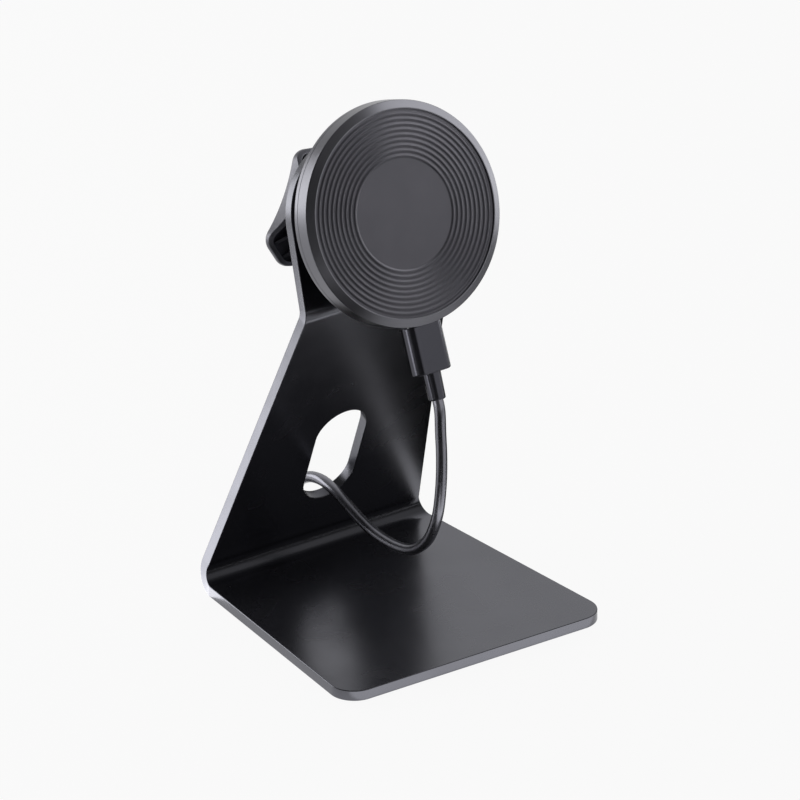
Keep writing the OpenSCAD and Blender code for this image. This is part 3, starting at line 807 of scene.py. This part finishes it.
def folded(point):
    """The place of a point of the blank: x across, y along the blank, z up from the middle of the sheet."""
    x, station, height = point
    across = Vector((x, 0, 0))
    front = FOLD_CORNER.y - BASE_DEPTH
    forward, upward = Vector((0, 1, 0)), Vector((0, 0, 1))
    if station <= fold_start:
        return across + Vector((0, front + station, FOLD_CORNER.z + SHEET / 2 + height))
    if station <= fold_end:
        centre = Vector((0, front + fold_start, FOLD_CORNER.z + FOLD_R))
        angle = (station - fold_start) / (FOLD_R - SHEET / 2)
        return across + along_bend(centre, -upward, forward, angle, FOLD_R - SHEET / 2 - height)
    if station <= bend_start:
        run = fold_tangent + station - fold_end
        return across + FOLD_CORNER + upright_up * run + upright_out * (SHEET / 2 + height)
    corner = FOLD_CORNER + upright_up * UPRIGHT_LENGTH
    if station <= bend_end:
        centre = corner - upright_up * bend_tangent - upright_out * BEND_R
        angle = (station - bend_start) / (BEND_R + SHEET / 2)
        return across + along_bend(centre, upright_out, upright_up, angle, BEND_R + SHEET / 2 + height)
    run = bend_tangent + station - bend_end
    return across + corner + head_up * run + head_out * (SHEET / 2 + height)


def fold_sheet(bm):
    for start, end, cuts in ((fold_start, fold_end, FOLD_CUTS), (bend_start, bend_end, BEND_CUTS)):
        for k in range(cuts + 1):
            bisect(bm, start + (end - start) * k / cuts)
    piece = link_mesh(bm, "folded_sheet")
    wall = piece.modifiers.new("thickness", "SOLIDIFY")
    wall.thickness = SHEET
    wall.offset = 0.0
    round_edges(piece, EDGE_BREAK, 3, 40)
    for vertex in piece.data.vertices:
        vertex.co = folded(vertex.co)
    return shade(piece, 35)


sheet = dress(fold_sheet(blank), "root", "coated_sheet", sheet_coat, "stand_sheet")

# %% [markdown]
# ## The pad under the base
#
# A soft pad keeps the sheet off the desk. It is a die-cut piece with a slightly rounded lower edge.

# %% Base pad
PAD_W = 64.0 * MM
PAD_D = 62.0 * MM
PAD_T = 1.0 * MM
PAD_CORNER_R = 7.0 * MM


def base_pad():
    rims = [(0.35 * MM, 0.0), (0.1 * MM, 0.1 * MM), (0.0, 0.35 * MM), (0.0, PAD_T)]
    loops = [[(p.x, p.y, z) for p in rounded_rectangle(PAD_W, PAD_D, PAD_CORNER_R, inset, 16)] for inset, z in rims]
    return shade(link_mesh(skinned(loops), "under_pad"), 50)


pad = dress(base_pad(), "root", "soft_pad", pad_skin, "base_pad")

# %% [markdown]
# ## The head's two housings
#
# The charging head is two shells that meet in a fine parting line. Each is turned from a closed outline with small
# edge radii, so the parting line is a real groove. The rear shell has a raised field behind the socket. The bay of
# the socket is cut through both with a boolean, because only there the shells aren't round.

# %% Housings
HEAD_R = 30.0 * MM
BACK_N = 18.4 * MM
PARTING_N = 20.25 * MM
RIM_N = 25.55 * MM
CHAMFER_W = 2.1 * MM
CHAMFER_H = 1.1 * MM
SHELL_T = 1.5 * MM
FACE_N = RIM_N - 0.15 * MM
SEAT_N = RIM_N - 1.7 * MM
WEB_N = SEAT_N - 0.8 * MM
LIP_R = HEAD_R - CHAMFER_W - 0.3 * MM
BAY_W = 9.34 * MM
BAY_T = 3.56 * MM
BAY_END_U = -22.15 * MM
BOSS_W = 13.0 * MM
BOSS_DEPTH = 1.4 * MM
BOSS_TOP_U = -13.3 * MM


def socket_bay_cutter():
    w, t, low = BAY_W / 2, BAY_T / 2, -HEAD_R - 1 * MM
    loops = [[(-w, u, SOCKET_N - t), (w, u, SOCKET_N - t), (w, u, SOCKET_N + t), (-w, u, SOCKET_N + t)]
             for u in (low, BAY_END_U)]
    return link_mesh(skinned(loops), "bay_cutter", HEAD)


def rear_shell():
    floor_n, inner = BACK_N + 1.0 * MM, HEAD_R - SHELL_T
    profile = fillet([(0, BACK_N), (HEAD_R, BACK_N), (HEAD_R, PARTING_N), (inner, PARTING_N), (inner, floor_n),
                      (0, floor_n)], [0, 0.6 * MM, 0.14 * MM, 0, 0, 0])
    return link_mesh(turned(profile), "rear_shell", HEAD)


def rear_boss():
    """The raised field behind the socket, closed by the round side of the head."""
    w = BOSS_W / 2
    low = -math.sqrt((HEAD_R - 0.5 * MM) ** 2 - w ** 2)
    corners = [(-w, low), (w, low), (w, BOSS_TOP_U), (-w, BOSS_TOP_U)]
    loops = []
    for inset, n in edge_rounding(0.5 * MM, BACK_N - BOSS_DEPTH, BACK_N + 0.5 * MM):
        outline = fillet([(x - math.copysign(inset, x), y + (inset if y == low else -inset)) for x, y in corners],
                         [0.6 * MM, 0.6 * MM, 2.0 * MM, 2.0 * MM], 6)
        loops.append([(p.x, p.y, n) for p in outline])
    return link_mesh(skinned(loops), "rear_boss", HEAD)


def union(piece, other):
    boolean = piece.modifiers.new("join", "BOOLEAN")
    boolean.operation = "UNION"
    boolean.solver = "EXACT"
    boolean.object = other
    settle(piece)
    bpy.data.objects.remove(other)
    return piece


def front_shell():
    inner = HEAD_R - SHELL_T
    profile = fillet([(0, WEB_N), (inner, WEB_N), (inner, PARTING_N), (HEAD_R, PARTING_N),
                      (HEAD_R, RIM_N - CHAMFER_H), (HEAD_R - CHAMFER_W, RIM_N), (LIP_R, RIM_N), (LIP_R, SEAT_N),
                      (0, SEAT_N)],
                     [0, 0, 0, 0.14 * MM, 0.35 * MM, 0.12 * MM, 0.1 * MM, 0, 0])
    return link_mesh(turned(profile), "front_shell", HEAD)


rear = shade(cut(union(rear_shell(), rear_boss()), socket_bay_cutter()), 35)
front = shade(cut(front_shell(), socket_bay_cutter()), 35)
dress(rear, "head", "housing_finish", housing_coat, "rear_housing")
dress(front, "head", "housing_finish", housing_coat, "front_housing")

# %% [markdown]
# ## The ridged face
#
# The face is a firm rubber disc with nine round ridges and a flat middle. Its shape follows a rule, a height for each
# radius, so Geometry Nodes make it: a grid whose columns run out from the middle, over the edge and back below is
# bent into a disc, and its height is a cosine where the ridges are. The tree's inputs are the sizes of the ridges.

# %% Node-tree helpers
def new_tree(name, inputs):
    """A Geometry Nodes tree with a geometry output and named number inputs."""
    tree = bpy.data.node_groups.new(name, "GeometryNodeTree")
    tree.interface.new_socket("Geometry", in_out="OUTPUT", socket_type="NodeSocketGeometry")
    for label, (kind, value) in inputs.items():
        socket = tree.interface.new_socket(label, in_out="INPUT", socket_type="NodeSocket" + kind)
        if value is not None:
            socket.default_value = value
    return tree


class Nodes:
    """Adds nodes to a tree and links them by plain calls."""

    def __init__(self, tree):
        self.tree = tree
        self.entry = tree.nodes.new("NodeGroupInput")
        self.exit = tree.nodes.new("NodeGroupOutput")

    def add(self, kind, links=(), **settings):
        node = self.tree.nodes.new(kind)
        for name, value in settings.items():
            setattr(node, name, value)
        for socket, source in dict(links).items():
            if isinstance(source, bpy.types.NodeSocket):
                self.tree.links.new(source, node.inputs[socket])
            else:
                node.inputs[socket].default_value = source
        return node

    def math(self, operation, *values):
        return self.add("ShaderNodeMath", enumerate(values), operation=operation).outputs[0]

    def choose(self, condition, no, yes):
        """yes where the condition is 1, else no."""
        return self.math("ADD", self.math("MULTIPLY", condition, yes),
                         self.math("MULTIPLY", self.math("SUBTRACT", 1.0, condition), no))


def grown(name, tree, values):
    """The plain mesh that a tree makes with the given inputs, which are set by the sockets' identifiers."""
    piece = bpy.data.objects.new(name, bpy.data.meshes.new(name))
    modifier = piece.modifiers.new("shape", "NODES")
    modifier.node_group = tree
    for item in tree.interface.items_tree:
        if item.in_out == "INPUT" and item.name in values:
            modifier[item.identifier] = values[item.name]
    bpy.context.collection.objects.link(piece)
    return settle(piece)


# %% Ridged face
RIDGES = 9
RIDGE_PITCH = 1.385 * MM
RIDGE_OUTER_R = 26.3 * MM
RIDGE_HEIGHT = 0.34 * MM
RIDGE_SAMPLES = 10
FACE_STEPS = 192


def ridged_face_tree():
    tree = new_tree("ridged face", {
        "Outer Radius": ("Float", None), "Outermost Ridge": ("Float", None), "Pitch": ("Float", None),
        "Ridges": ("Int", None), "Ridge Height": ("Float", None), "Top": ("Float", None), "Seat": ("Float", None),
        "Columns": ("Int", None), "Steps": ("Int", None), "Material": ("Material", None)})
    n = Nodes(tree)
    size = n.entry.outputs
    grid = n.add("GeometryNodeMeshGrid", {"Size X": 1.0, "Size Y": 1.0, "Vertices X": size["Columns"],
                                          "Vertices Y": n.math("ADD", size["Steps"], 1.0)})
    spot = n.add("ShaderNodeSeparateXYZ", {0: n.add("GeometryNodeInputPosition").outputs[0]})
    last = n.math("SUBTRACT", size["Columns"], 1.0)
    column = n.math("ROUND", n.math("MULTIPLY", n.math("ADD", spot.outputs["X"], 0.5), last))
    angle = n.math("MULTIPLY", n.math("ADD", spot.outputs["Y"], 0.5), 2 * math.pi)
    inner = n.math("SUBTRACT", size["Outermost Ridge"],
                   n.math("MULTIPLY", n.math("SUBTRACT", size["Ridges"], 0.5), size["Pitch"]))
    top_last = n.math("SUBTRACT", last, 2.0)
    share = n.math("DIVIDE", n.math("SUBTRACT", column, 1.0), n.math("SUBTRACT", top_last, 1.0))
    spread = n.math("ADD", inner, n.math("MULTIPLY", share, n.math("SUBTRACT", size["Outer Radius"], inner)))
    radius = n.choose(n.math("LESS_THAN", column, 0.5), spread, 0.0)
    side = n.math("GREATER_THAN", column, n.math("ADD", top_last, 0.5))
    radius = n.choose(side, radius, size["Outer Radius"])
    below = n.math("GREATER_THAN", column, n.math("SUBTRACT", last, 0.5))
    radius = n.choose(below, radius, 0.0)
    turns = n.math("DIVIDE", n.math("SUBTRACT", radius, size["Outermost Ridge"]), size["Pitch"])
    wave = n.math("ADD", 0.5, n.math("MULTIPLY", 0.5, n.math("COSINE", n.math("MULTIPLY", turns, 2 * math.pi))))
    on_ridges = n.math("MULTIPLY", n.math("GREATER_THAN", radius, n.math("SUBTRACT", inner, 0.00001)),
                       n.math("LESS_THAN", turns, 0.5))
    lift = n.math("MULTIPLY", n.math("MULTIPLY", wave, on_ridges), size["Ridge Height"])
    height = n.math("ADD", n.math("SUBTRACT", size["Top"], size["Ridge Height"]), lift)
    height = n.choose(side, height, size["Seat"])
    place = n.add("ShaderNodeCombineXYZ", {"X": n.math("MULTIPLY", radius, n.math("COSINE", angle)),
                                           "Y": n.math("MULTIPLY", radius, n.math("SINE", angle)), "Z": height})
    bent = n.add("GeometryNodeSetPosition", {"Geometry": grid.outputs["Mesh"], "Position": place.outputs[0]})
    closed = n.add("GeometryNodeMergeByDistance", {"Geometry": bent.outputs[0], "Distance": 0.000001})
    whole = n.add("GeometryNodeRealizeInstances", {"Geometry": closed.outputs[0]})
    finished = n.add("GeometryNodeSetMaterial", {"Geometry": whole.outputs[0], "Material": size["Material"]})
    tree.links.new(finished.outputs[0], n.exit.inputs["Geometry"])
    return tree


def ridged_face():
    outer = LIP_R - 0.01 * MM
    inner = RIDGE_OUTER_R - (RIDGES - 0.5) * RIDGE_PITCH
    across = round((outer - inner) / RIDGE_PITCH * RIDGE_SAMPLES)
    disc = grown("ridged_face", ridged_face_tree(), {
        "Outer Radius": outer, "Outermost Ridge": RIDGE_OUTER_R, "Pitch": RIDGE_PITCH, "Ridges": RIDGES,
        "Ridge Height": RIDGE_HEIGHT, "Top": FACE_N, "Seat": SEAT_N, "Columns": across + 4, "Steps": FACE_STEPS,
        "Material": face_skin})
    bm = bmesh.new()
    bm.from_mesh(disc.data)
    bpy.data.objects.remove(disc)
    return shade(link_mesh(bm, "ridged_face", HEAD), 50)


face = dress(ridged_face(), "head", "face_rubber", face_skin, "face_pad")

# %% [markdown]
# ## The clamp knob
#
# The knob behind the plate has three blunt lobes. It is moulded hollow: round the hub the lobes are open towards the
# plate, their walls fall away outwards, and two thin ribs stand in each. The outline is two corner arcs to a lobe,
# joined by three wide hollows that touch them, and the same rule with an inset draws the inside. A skinned stack of
# these outlines makes the wall with its rounded rims, and Geometry Nodes set the ribs, which repeat.

# %% Clamp knob
LOBE_REACH = 17.5 * MM
LOBE_R = 3.9 * MM
LOBE_FLAT = 3.8 * MM
WAIST_X = 11.3 * MM
LOBE_TURN = math.radians(82.6)
KNOB_BACK_N = -19.0 * MM
KNOB_FLOOR = 1.4 * MM
KNOB_SHOULDER_N = -11.1 * MM
KNOB_SLOPE = 0.92
KNOB_WALL = 1.2 * MM
KNOB_HUB_R = 11.0 * MM
KNOB_HUB_N = -6.0 * MM
KNOB_BORE_R = 9.9 * MM
KNOB_FLOOR_N = -12.5 * MM
LOBE_STEPS = 12


def lobe_outline(inset):
    """The three-lobed outline, drawn in by an inset: two corners to a lobe, and hollows that touch them."""
    third = math.pi / 3
    corner = Vector((LOBE_REACH - LOBE_R, LOBE_FLAT / 2))
    toward = Vector((math.cos(third), math.sin(third)))
    along = corner.dot(toward)
    hollow_r = ((LOBE_R ** 2 - WAIST_X ** 2 + 2 * WAIST_X * along - corner.length_squared)
                / (2 * (WAIST_X - along - LOBE_R)))
    centre = (WAIST_X + hollow_r) * toward
    half = math.atan2(centre.y - corner.y, centre.x - corner.x)
    lobe = circle_points(corner.x, -corner.y, LOBE_R - inset, -half, half, LOBE_STEPS)
    lobe += circle_points(corner.x, corner.y, LOBE_R - inset, 0, half, LOBE_STEPS)
    lobe += circle_points(centre.x, centre.y, hollow_r + inset, half - math.pi, 2 * (third - half),
                          2 * LOBE_STEPS)[1:-1]
    points = []
    for k in range(3):
        a = LOBE_TURN + k * 2 * third
        points += [Vector((p.x * math.cos(a) - p.y * math.sin(a), p.x * math.sin(a) + p.y * math.cos(a)))
                   for p in lobe]
    return points


def lobe_front(point):
    """Height of the lobes' front at a point, which falls outwards from the hub."""
    return KNOB_SHOULDER_N - KNOB_SLOPE * max(0.0, point.length - KNOB_HUB_R)


def knob_lobes():
    """Floor of the hollow, inner wall, rounded rim, outer wall and rounded back, as one stack of outlines."""
    floor_n = KNOB_BACK_N + KNOB_FLOOR
    rim, edge = 0.3 * MM, 0.9 * MM
    quarter = [math.pi / 2 * k / 4 for k in range(5)]
    inside = [(KNOB_WALL + 0.3 * MM, floor_n), (KNOB_WALL, floor_n + 0.3 * MM)]
    crest = [(KNOB_WALL - rim * (1 - math.cos(a)), rim * (1 - math.sin(a))) for a in quarter]
    crest += [(rim * (1 - math.sin(a)), rim * (1 - math.cos(a))) for a in quarter]
    outside = [(edge * (1 - math.cos(a)), KNOB_BACK_N + edge * (1 - math.sin(a))) for a in quarter]
    loops = [[(p.x, p.y, n) for p in lobe_outline(inset)] for inset, n in inside]
    loops += [[(p.x, p.y, lobe_front(p) - fall) for p in lobe_outline(inset)] for inset, fall in crest]
    loops += [[(p.x, p.y, n) for p in lobe_outline(inset)] for inset, n in outside]
    return link_mesh(skinned(loops), "clamp_lobes", HEAD)


def knob_hub():
    start = KNOB_BACK_N + KNOB_FLOOR / 2
    profile = fillet([(0, KNOB_FLOOR_N), (KNOB_BORE_R, KNOB_FLOOR_N), (KNOB_BORE_R, KNOB_HUB_N),
                      (KNOB_HUB_R, KNOB_HUB_N), (KNOB_HUB_R, start), (0, start)], [0, 0, 0.2 * MM, 0.4 * MM, 0, 0])
    return link_mesh(turned(profile, 96), "clamp_hub", HEAD)


def rib_tree():
    """Thin walls, some to a lobe, that stand side by side, point outwards and fall away with the lobe's front."""
    tree = new_tree("lobe ribs", {
        "Lobes": ("Int", None), "First Turn": ("Float", None), "Spacing": ("Float", None),
        "Length": ("Float", None), "Thickness": ("Float", None), "Height": ("Float", None),
        "Fall": ("Float", None), "Low": ("Float", None), "Start": ("Float", None), "Material": ("Material", None)})
    n = Nodes(tree)
    size = n.entry.outputs
    row = n.add("GeometryNodeMeshLine", {"Count": n.math("MULTIPLY", size["Lobes"], 2.0)})
    index = n.add("GeometryNodeInputIndex").outputs[0]
    lobe = n.math("FLOOR", n.math("DIVIDE", index, 2.0))
    side = n.math("SUBTRACT", n.math("MULTIPLY", n.math("MODULO", index, 2.0), 2.0), 1.0)
    turn = n.math("ADD", size["First Turn"],
                  n.math("DIVIDE", n.math("MULTIPLY", lobe, 2 * math.pi), size["Lobes"]))
    out = n.math("ADD", size["Start"], n.math("DIVIDE", size["Length"], 2.0))
    shift = n.math("MULTIPLY", side, n.math("DIVIDE", size["Spacing"], 2.0))
    cosine, sine = n.math("COSINE", turn), n.math("SINE", turn)
    x = n.math("SUBTRACT", n.math("MULTIPLY", out, cosine), n.math("MULTIPLY", shift, sine))
    y = n.math("ADD", n.math("MULTIPLY", out, sine), n.math("MULTIPLY", shift, cosine))
    z = n.math("ADD", size["Low"], n.math("DIVIDE", size["Height"], 2.0))
    place = n.add("ShaderNodeCombineXYZ", {"X": x, "Y": y, "Z": z})
    points = n.add("GeometryNodeSetPosition", {"Geometry": row.outputs[0], "Position": place.outputs[0]})
    extent = n.add("ShaderNodeCombineXYZ", {"X": size["Length"], "Y": size["Thickness"], "Z": size["Height"]})
    block = n.add("GeometryNodeMeshCube", {"Size": extent.outputs[0]})
    spot = n.add("ShaderNodeSeparateXYZ", {0: n.add("GeometryNodeInputPosition").outputs[0]})
    outward = n.math("ADD", spot.outputs["X"], n.math("DIVIDE", size["Length"], 2.0))
    drop = n.math("MULTIPLY", n.math("MULTIPLY", outward, size["Fall"]), n.math("GREATER_THAN", spot.outputs["Z"], 0.0))
    lower = n.add("ShaderNodeCombineXYZ", {"Z": n.math("MULTIPLY", drop, -1.0)})
    rib = n.add("GeometryNodeSetPosition", {"Geometry": block.outputs[0], "Offset": lower.outputs[0]})
    turned_to = n.add("ShaderNodeCombineXYZ", {"Z": turn})
    ribs = n.add("GeometryNodeInstanceOnPoints", {"Points": points.outputs[0], "Instance": rib.outputs[0],
                                                  "Rotation": turned_to.outputs[0]})
    whole = n.add("GeometryNodeRealizeInstances", {"Geometry": ribs.outputs[0]})
    finished = n.add("GeometryNodeSetMaterial", {"Geometry": whole.outputs[0], "Material": size["Material"]})
    tree.links.new(finished.outputs[0], n.exit.inputs["Geometry"])
    return tree


def knob_ribs():
    start, low = KNOB_HUB_R - 0.6 * MM, KNOB_BACK_N + 0.5 * MM
    height = KNOB_SHOULDER_N - 1.6 * MM + 0.6 * MM * KNOB_SLOPE - low
    ribs = grown("clamp_ribs", rib_tree(), {
        "Lobes": 3, "First Turn": LOBE_TURN, "Spacing": 4.4 * MM, "Length": 6.2 * MM, "Thickness": 0.8 * MM,
        "Height": height, "Fall": KNOB_SLOPE, "Low": low, "Start": start, "Material": knob_skin})
    ribs.data.transform(HEAD)
    return ribs


def clamp_knob():
    knob = knob_lobes()
    for part in (knob_hub(), knob_ribs()):
        knob = union(knob, part)
    knob.name = "lobed_knob"
    return shade(knob, 35)


knob = dress(clamp_knob(), "knob", "knob_plastic", knob_skin, "clamp_knob")

# %% [markdown]
# ## The room
#
# The floor is plain and pale. The camera and mirror-like surfaces see it white, and it still keeps a soft shadow,
# because part of its light is an ordinary matt white. The world is pale too, and darker low in front, as behind a
# photographer, which gives the satin metal its black areas. Dark cards lie on the floor right of the stand and in
# front, where the upright mirrors them, and a pale one where the front edge does. A weak, large lamp is in front and
# above and a low one behind on the left. Flagged lamps reach only some pieces: a large one in front and a small one
# close to the upper right light the head and its plug, two low ones beside the plug draw the pale lines along it and
# along the cord, and one that lies on the floor lights the upright's left edge.

# %% Room
FLOOR_SIZE = 30.0
FLOOR_GREY = (0.8, 0.8, 0.8, 1)
FLOOR_SEEN_WHITE = 0.93
CARD_HEIGHT = 0.0003
FLOOR_LAMP_HEIGHT = 0.0006
WORLD_BRIGHT_SIDE = Vector((0.50, 0.72, 0.48))
HEAD_CENTRE = Vector((0, -3, 115)) * MM
PLUG_CENTRE = Vector((0, -18, 75)) * MM


def seen_white(tree, strength=1.0):
    """A factor that is 1 for rays from the camera, from mirrors and through glass."""
    path = tree.nodes.new("ShaderNodeLightPath")
    total = path.outputs["Is Camera Ray"]
    for name in ("Is Glossy Ray", "Is Transmission Ray"):
        node = tree.nodes.new("ShaderNodeMath")
        node.operation = "MAXIMUM"
        tree.links.new(total, node.inputs[0])
        tree.links.new(path.outputs[name], node.inputs[1])
        total = node.outputs[0]
    share = tree.nodes.new("ShaderNodeMath")
    share.operation = "MULTIPLY"
    share.inputs[1].default_value = strength
    tree.links.new(total, share.inputs[0])
    return share.outputs[0]


def floor_material():
    material = bpy.data.materials.new("floor")
    material.use_nodes = True
    tree = material.node_tree
    tree.nodes.clear()
    output = tree.nodes.new("ShaderNodeOutputMaterial")
    matt = tree.nodes.new("ShaderNodeBsdfDiffuse")
    matt.inputs["Color"].default_value = FLOOR_GREY
    white = tree.nodes.new("ShaderNodeEmission")
    white.inputs["Color"].default_value = (1, 1, 1, 1)
    mix = tree.nodes.new("ShaderNodeMixShader")
    tree.links.new(seen_white(tree, FLOOR_SEEN_WHITE), mix.inputs["Fac"])
    tree.links.new(matt.outputs[0], mix.inputs[1])
    tree.links.new(white.outputs[0], mix.inputs[2])
    tree.links.new(mix.outputs[0], output.inputs["Surface"])
    return material


def make_floor():
    bm = bmesh.new()
    bmesh.ops.create_grid(bm, x_segments=1, y_segments=1, size=FLOOR_SIZE / 2)
    floor = link_mesh(bm, "floor")
    floor.data.materials.append(floor_material())
    return floor


def make_world():
    world = bpy.data.worlds.new("room")
    bpy.context.scene.world = world
    world.use_nodes = True
    tree = world.node_tree
    background = tree.nodes["Background"]
    background.inputs["Color"].default_value = (1, 1, 1, 1)
    path = tree.nodes.new("ShaderNodeLightPath")
    coordinates = tree.nodes.new("ShaderNodeTexCoord")
    slope = tree.nodes.new("ShaderNodeVectorMath")
    slope.operation = "DOT_PRODUCT"
    slope.inputs[1].default_value = WORLD_BRIGHT_SIDE.normalized()
    tree.links.new(coordinates.outputs["Generated"], slope.inputs[0])
    spread = tree.nodes.new("ShaderNodeMapRange")
    for name, number in (("From Min", 0.45), ("From Max", 0.95), ("To Min", 0.07), ("To Max", 0.8)):
        spread.inputs[name].default_value = number
    tree.links.new(slope.outputs["Value"], spread.inputs["Value"])
    strength = tree.nodes.new("ShaderNodeMath")
    strength.operation = "MAXIMUM"
    tree.links.new(spread.outputs["Result"], strength.inputs[0])
    tree.links.new(path.outputs["Is Camera Ray"], strength.inputs[1])
    tree.links.new(strength.outputs[0], background.inputs["Strength"])
    return world


def soft_lamp(name, azimuth, elevation, distance, size, radiance, target=CAMERA_TARGET):
    """A rectangular lamp that faces a point, as bright over its whole face as the radiance says."""
    data = bpy.data.lights.new(name, "AREA")
    data.shape = "RECTANGLE"
    data.size, data.size_y = size
    data.energy = math.pi * size[0] * size[1] * radiance
    lamp = bpy.data.objects.new(name, data)
    toward = direction(math.radians(azimuth), math.radians(elevation))
    lamp.location = target + toward * distance
    lamp.rotation_euler = toward.to_track_quat("Z", "Y").to_euler()
    lamp.visible_camera = False
    bpy.context.collection.objects.link(lamp)
    return lamp


def floor_lamp(name, centre, turn, size, radiance):
    """A soft lamp that lies on the floor and shines upwards; its centre is in millimetres."""
    lamp = soft_lamp(name, 0, 0, 0, size, radiance)
    lamp.location = (centre[0] * MM, centre[1] * MM, FLOOR_LAMP_HEIGHT)
    lamp.rotation_euler = (math.pi, 0, math.radians(turn))
    return lamp


def reach_only(lamp, pieces):
    """Lets a lamp light some pieces only, as a photographer's flags would."""
    group = bpy.data.collections.new(lamp.name + "_reach")
    for piece in pieces:
        group.objects.link(piece)
    lamp.light_linking.receiver_collection = group


def reflected_card(name, strength, *areas):
    """Cards on the floor, in millimetres, that only reflections see: dark or bright ones, with four corners each."""
    bm = bmesh.new()
    for corners in areas:
        bm.faces.new([bm.verts.new((x * MM, y * MM, CARD_HEIGHT)) for x, y in corners])
    card = link_mesh(bm, name)
    material = bpy.data.materials.new(name)
    material.use_nodes = True
    tree = material.node_tree
    tree.nodes.clear()
    output = tree.nodes.new("ShaderNodeOutputMaterial")
    glow = tree.nodes.new("ShaderNodeEmission")
    glow.inputs["Strength"].default_value = strength
    tree.links.new(glow.outputs[0], output.inputs["Surface"])
    card.data.materials.append(material)
    card.visible_camera = False
    card.visible_diffuse = False
    card.visible_transmission = False
    card.visible_shadow = False
    return card


make_floor()
make_world()
reflected_card("dark_card", 0.01,
               [(49, -80), (900, -80), (900, 250), (42.4, 250), (42.4, 20), (45.5, -15)],
               [(-900, -900), (-5, -900), (-5, -60), (-900, -60)],
               [(-900, -60), (-50, -60), (-50, -10), (-900, -10)],
               [(-110, -10), (-47, -10), (-47, 25), (-110, 25)],
               [(-5, -900), (900, -900), (900, -250), (-5, -250)])
reflected_card("front_card", 1.7, [(-46, -60), (100, -60), (100, -37.5), (-46, -37.5)])
soft_lamp("key", 31, 42, 0.6, (0.7, 0.6), 0.18)
soft_lamp("rim", -145, 8, 0.6, (0.5, 0.3), 3.0)
cord_pieces = [bpy.data.objects[name] for name in ("plug_grip", "plug_sleeve", "cord")]
head_pieces = cord_pieces + [bpy.data.objects[name] for name in ("front_shell", "rear_shell", "ridged_face",
                                                                 "lobed_knob")]
reach_only(soft_lamp("front", 30, 18, 0.6, (1.0, 0.5), 0.75), head_pieces)
reach_only(soft_lamp("wing", 85, 26, 0.09, (0.07, 0.16), 2.1, HEAD_CENTRE), head_pieces)
reach_only(soft_lamp("glint_left", -97, -9, 0.3, (0.08, 0.14), 3.2, PLUG_CENTRE), cord_pieces)
reach_only(soft_lamp("glint_right", 106, -12, 0.3, (0.09, 0.12), 2.2, PLUG_CENTRE), cord_pieces)
reach_only(floor_lamp("edge", (-125, 118), 132.4, (0.24, 0.05), 3.3), [bpy.data.objects["folded_sheet"]])
bpy.context.scene.view_settings.view_transform = "Standard"
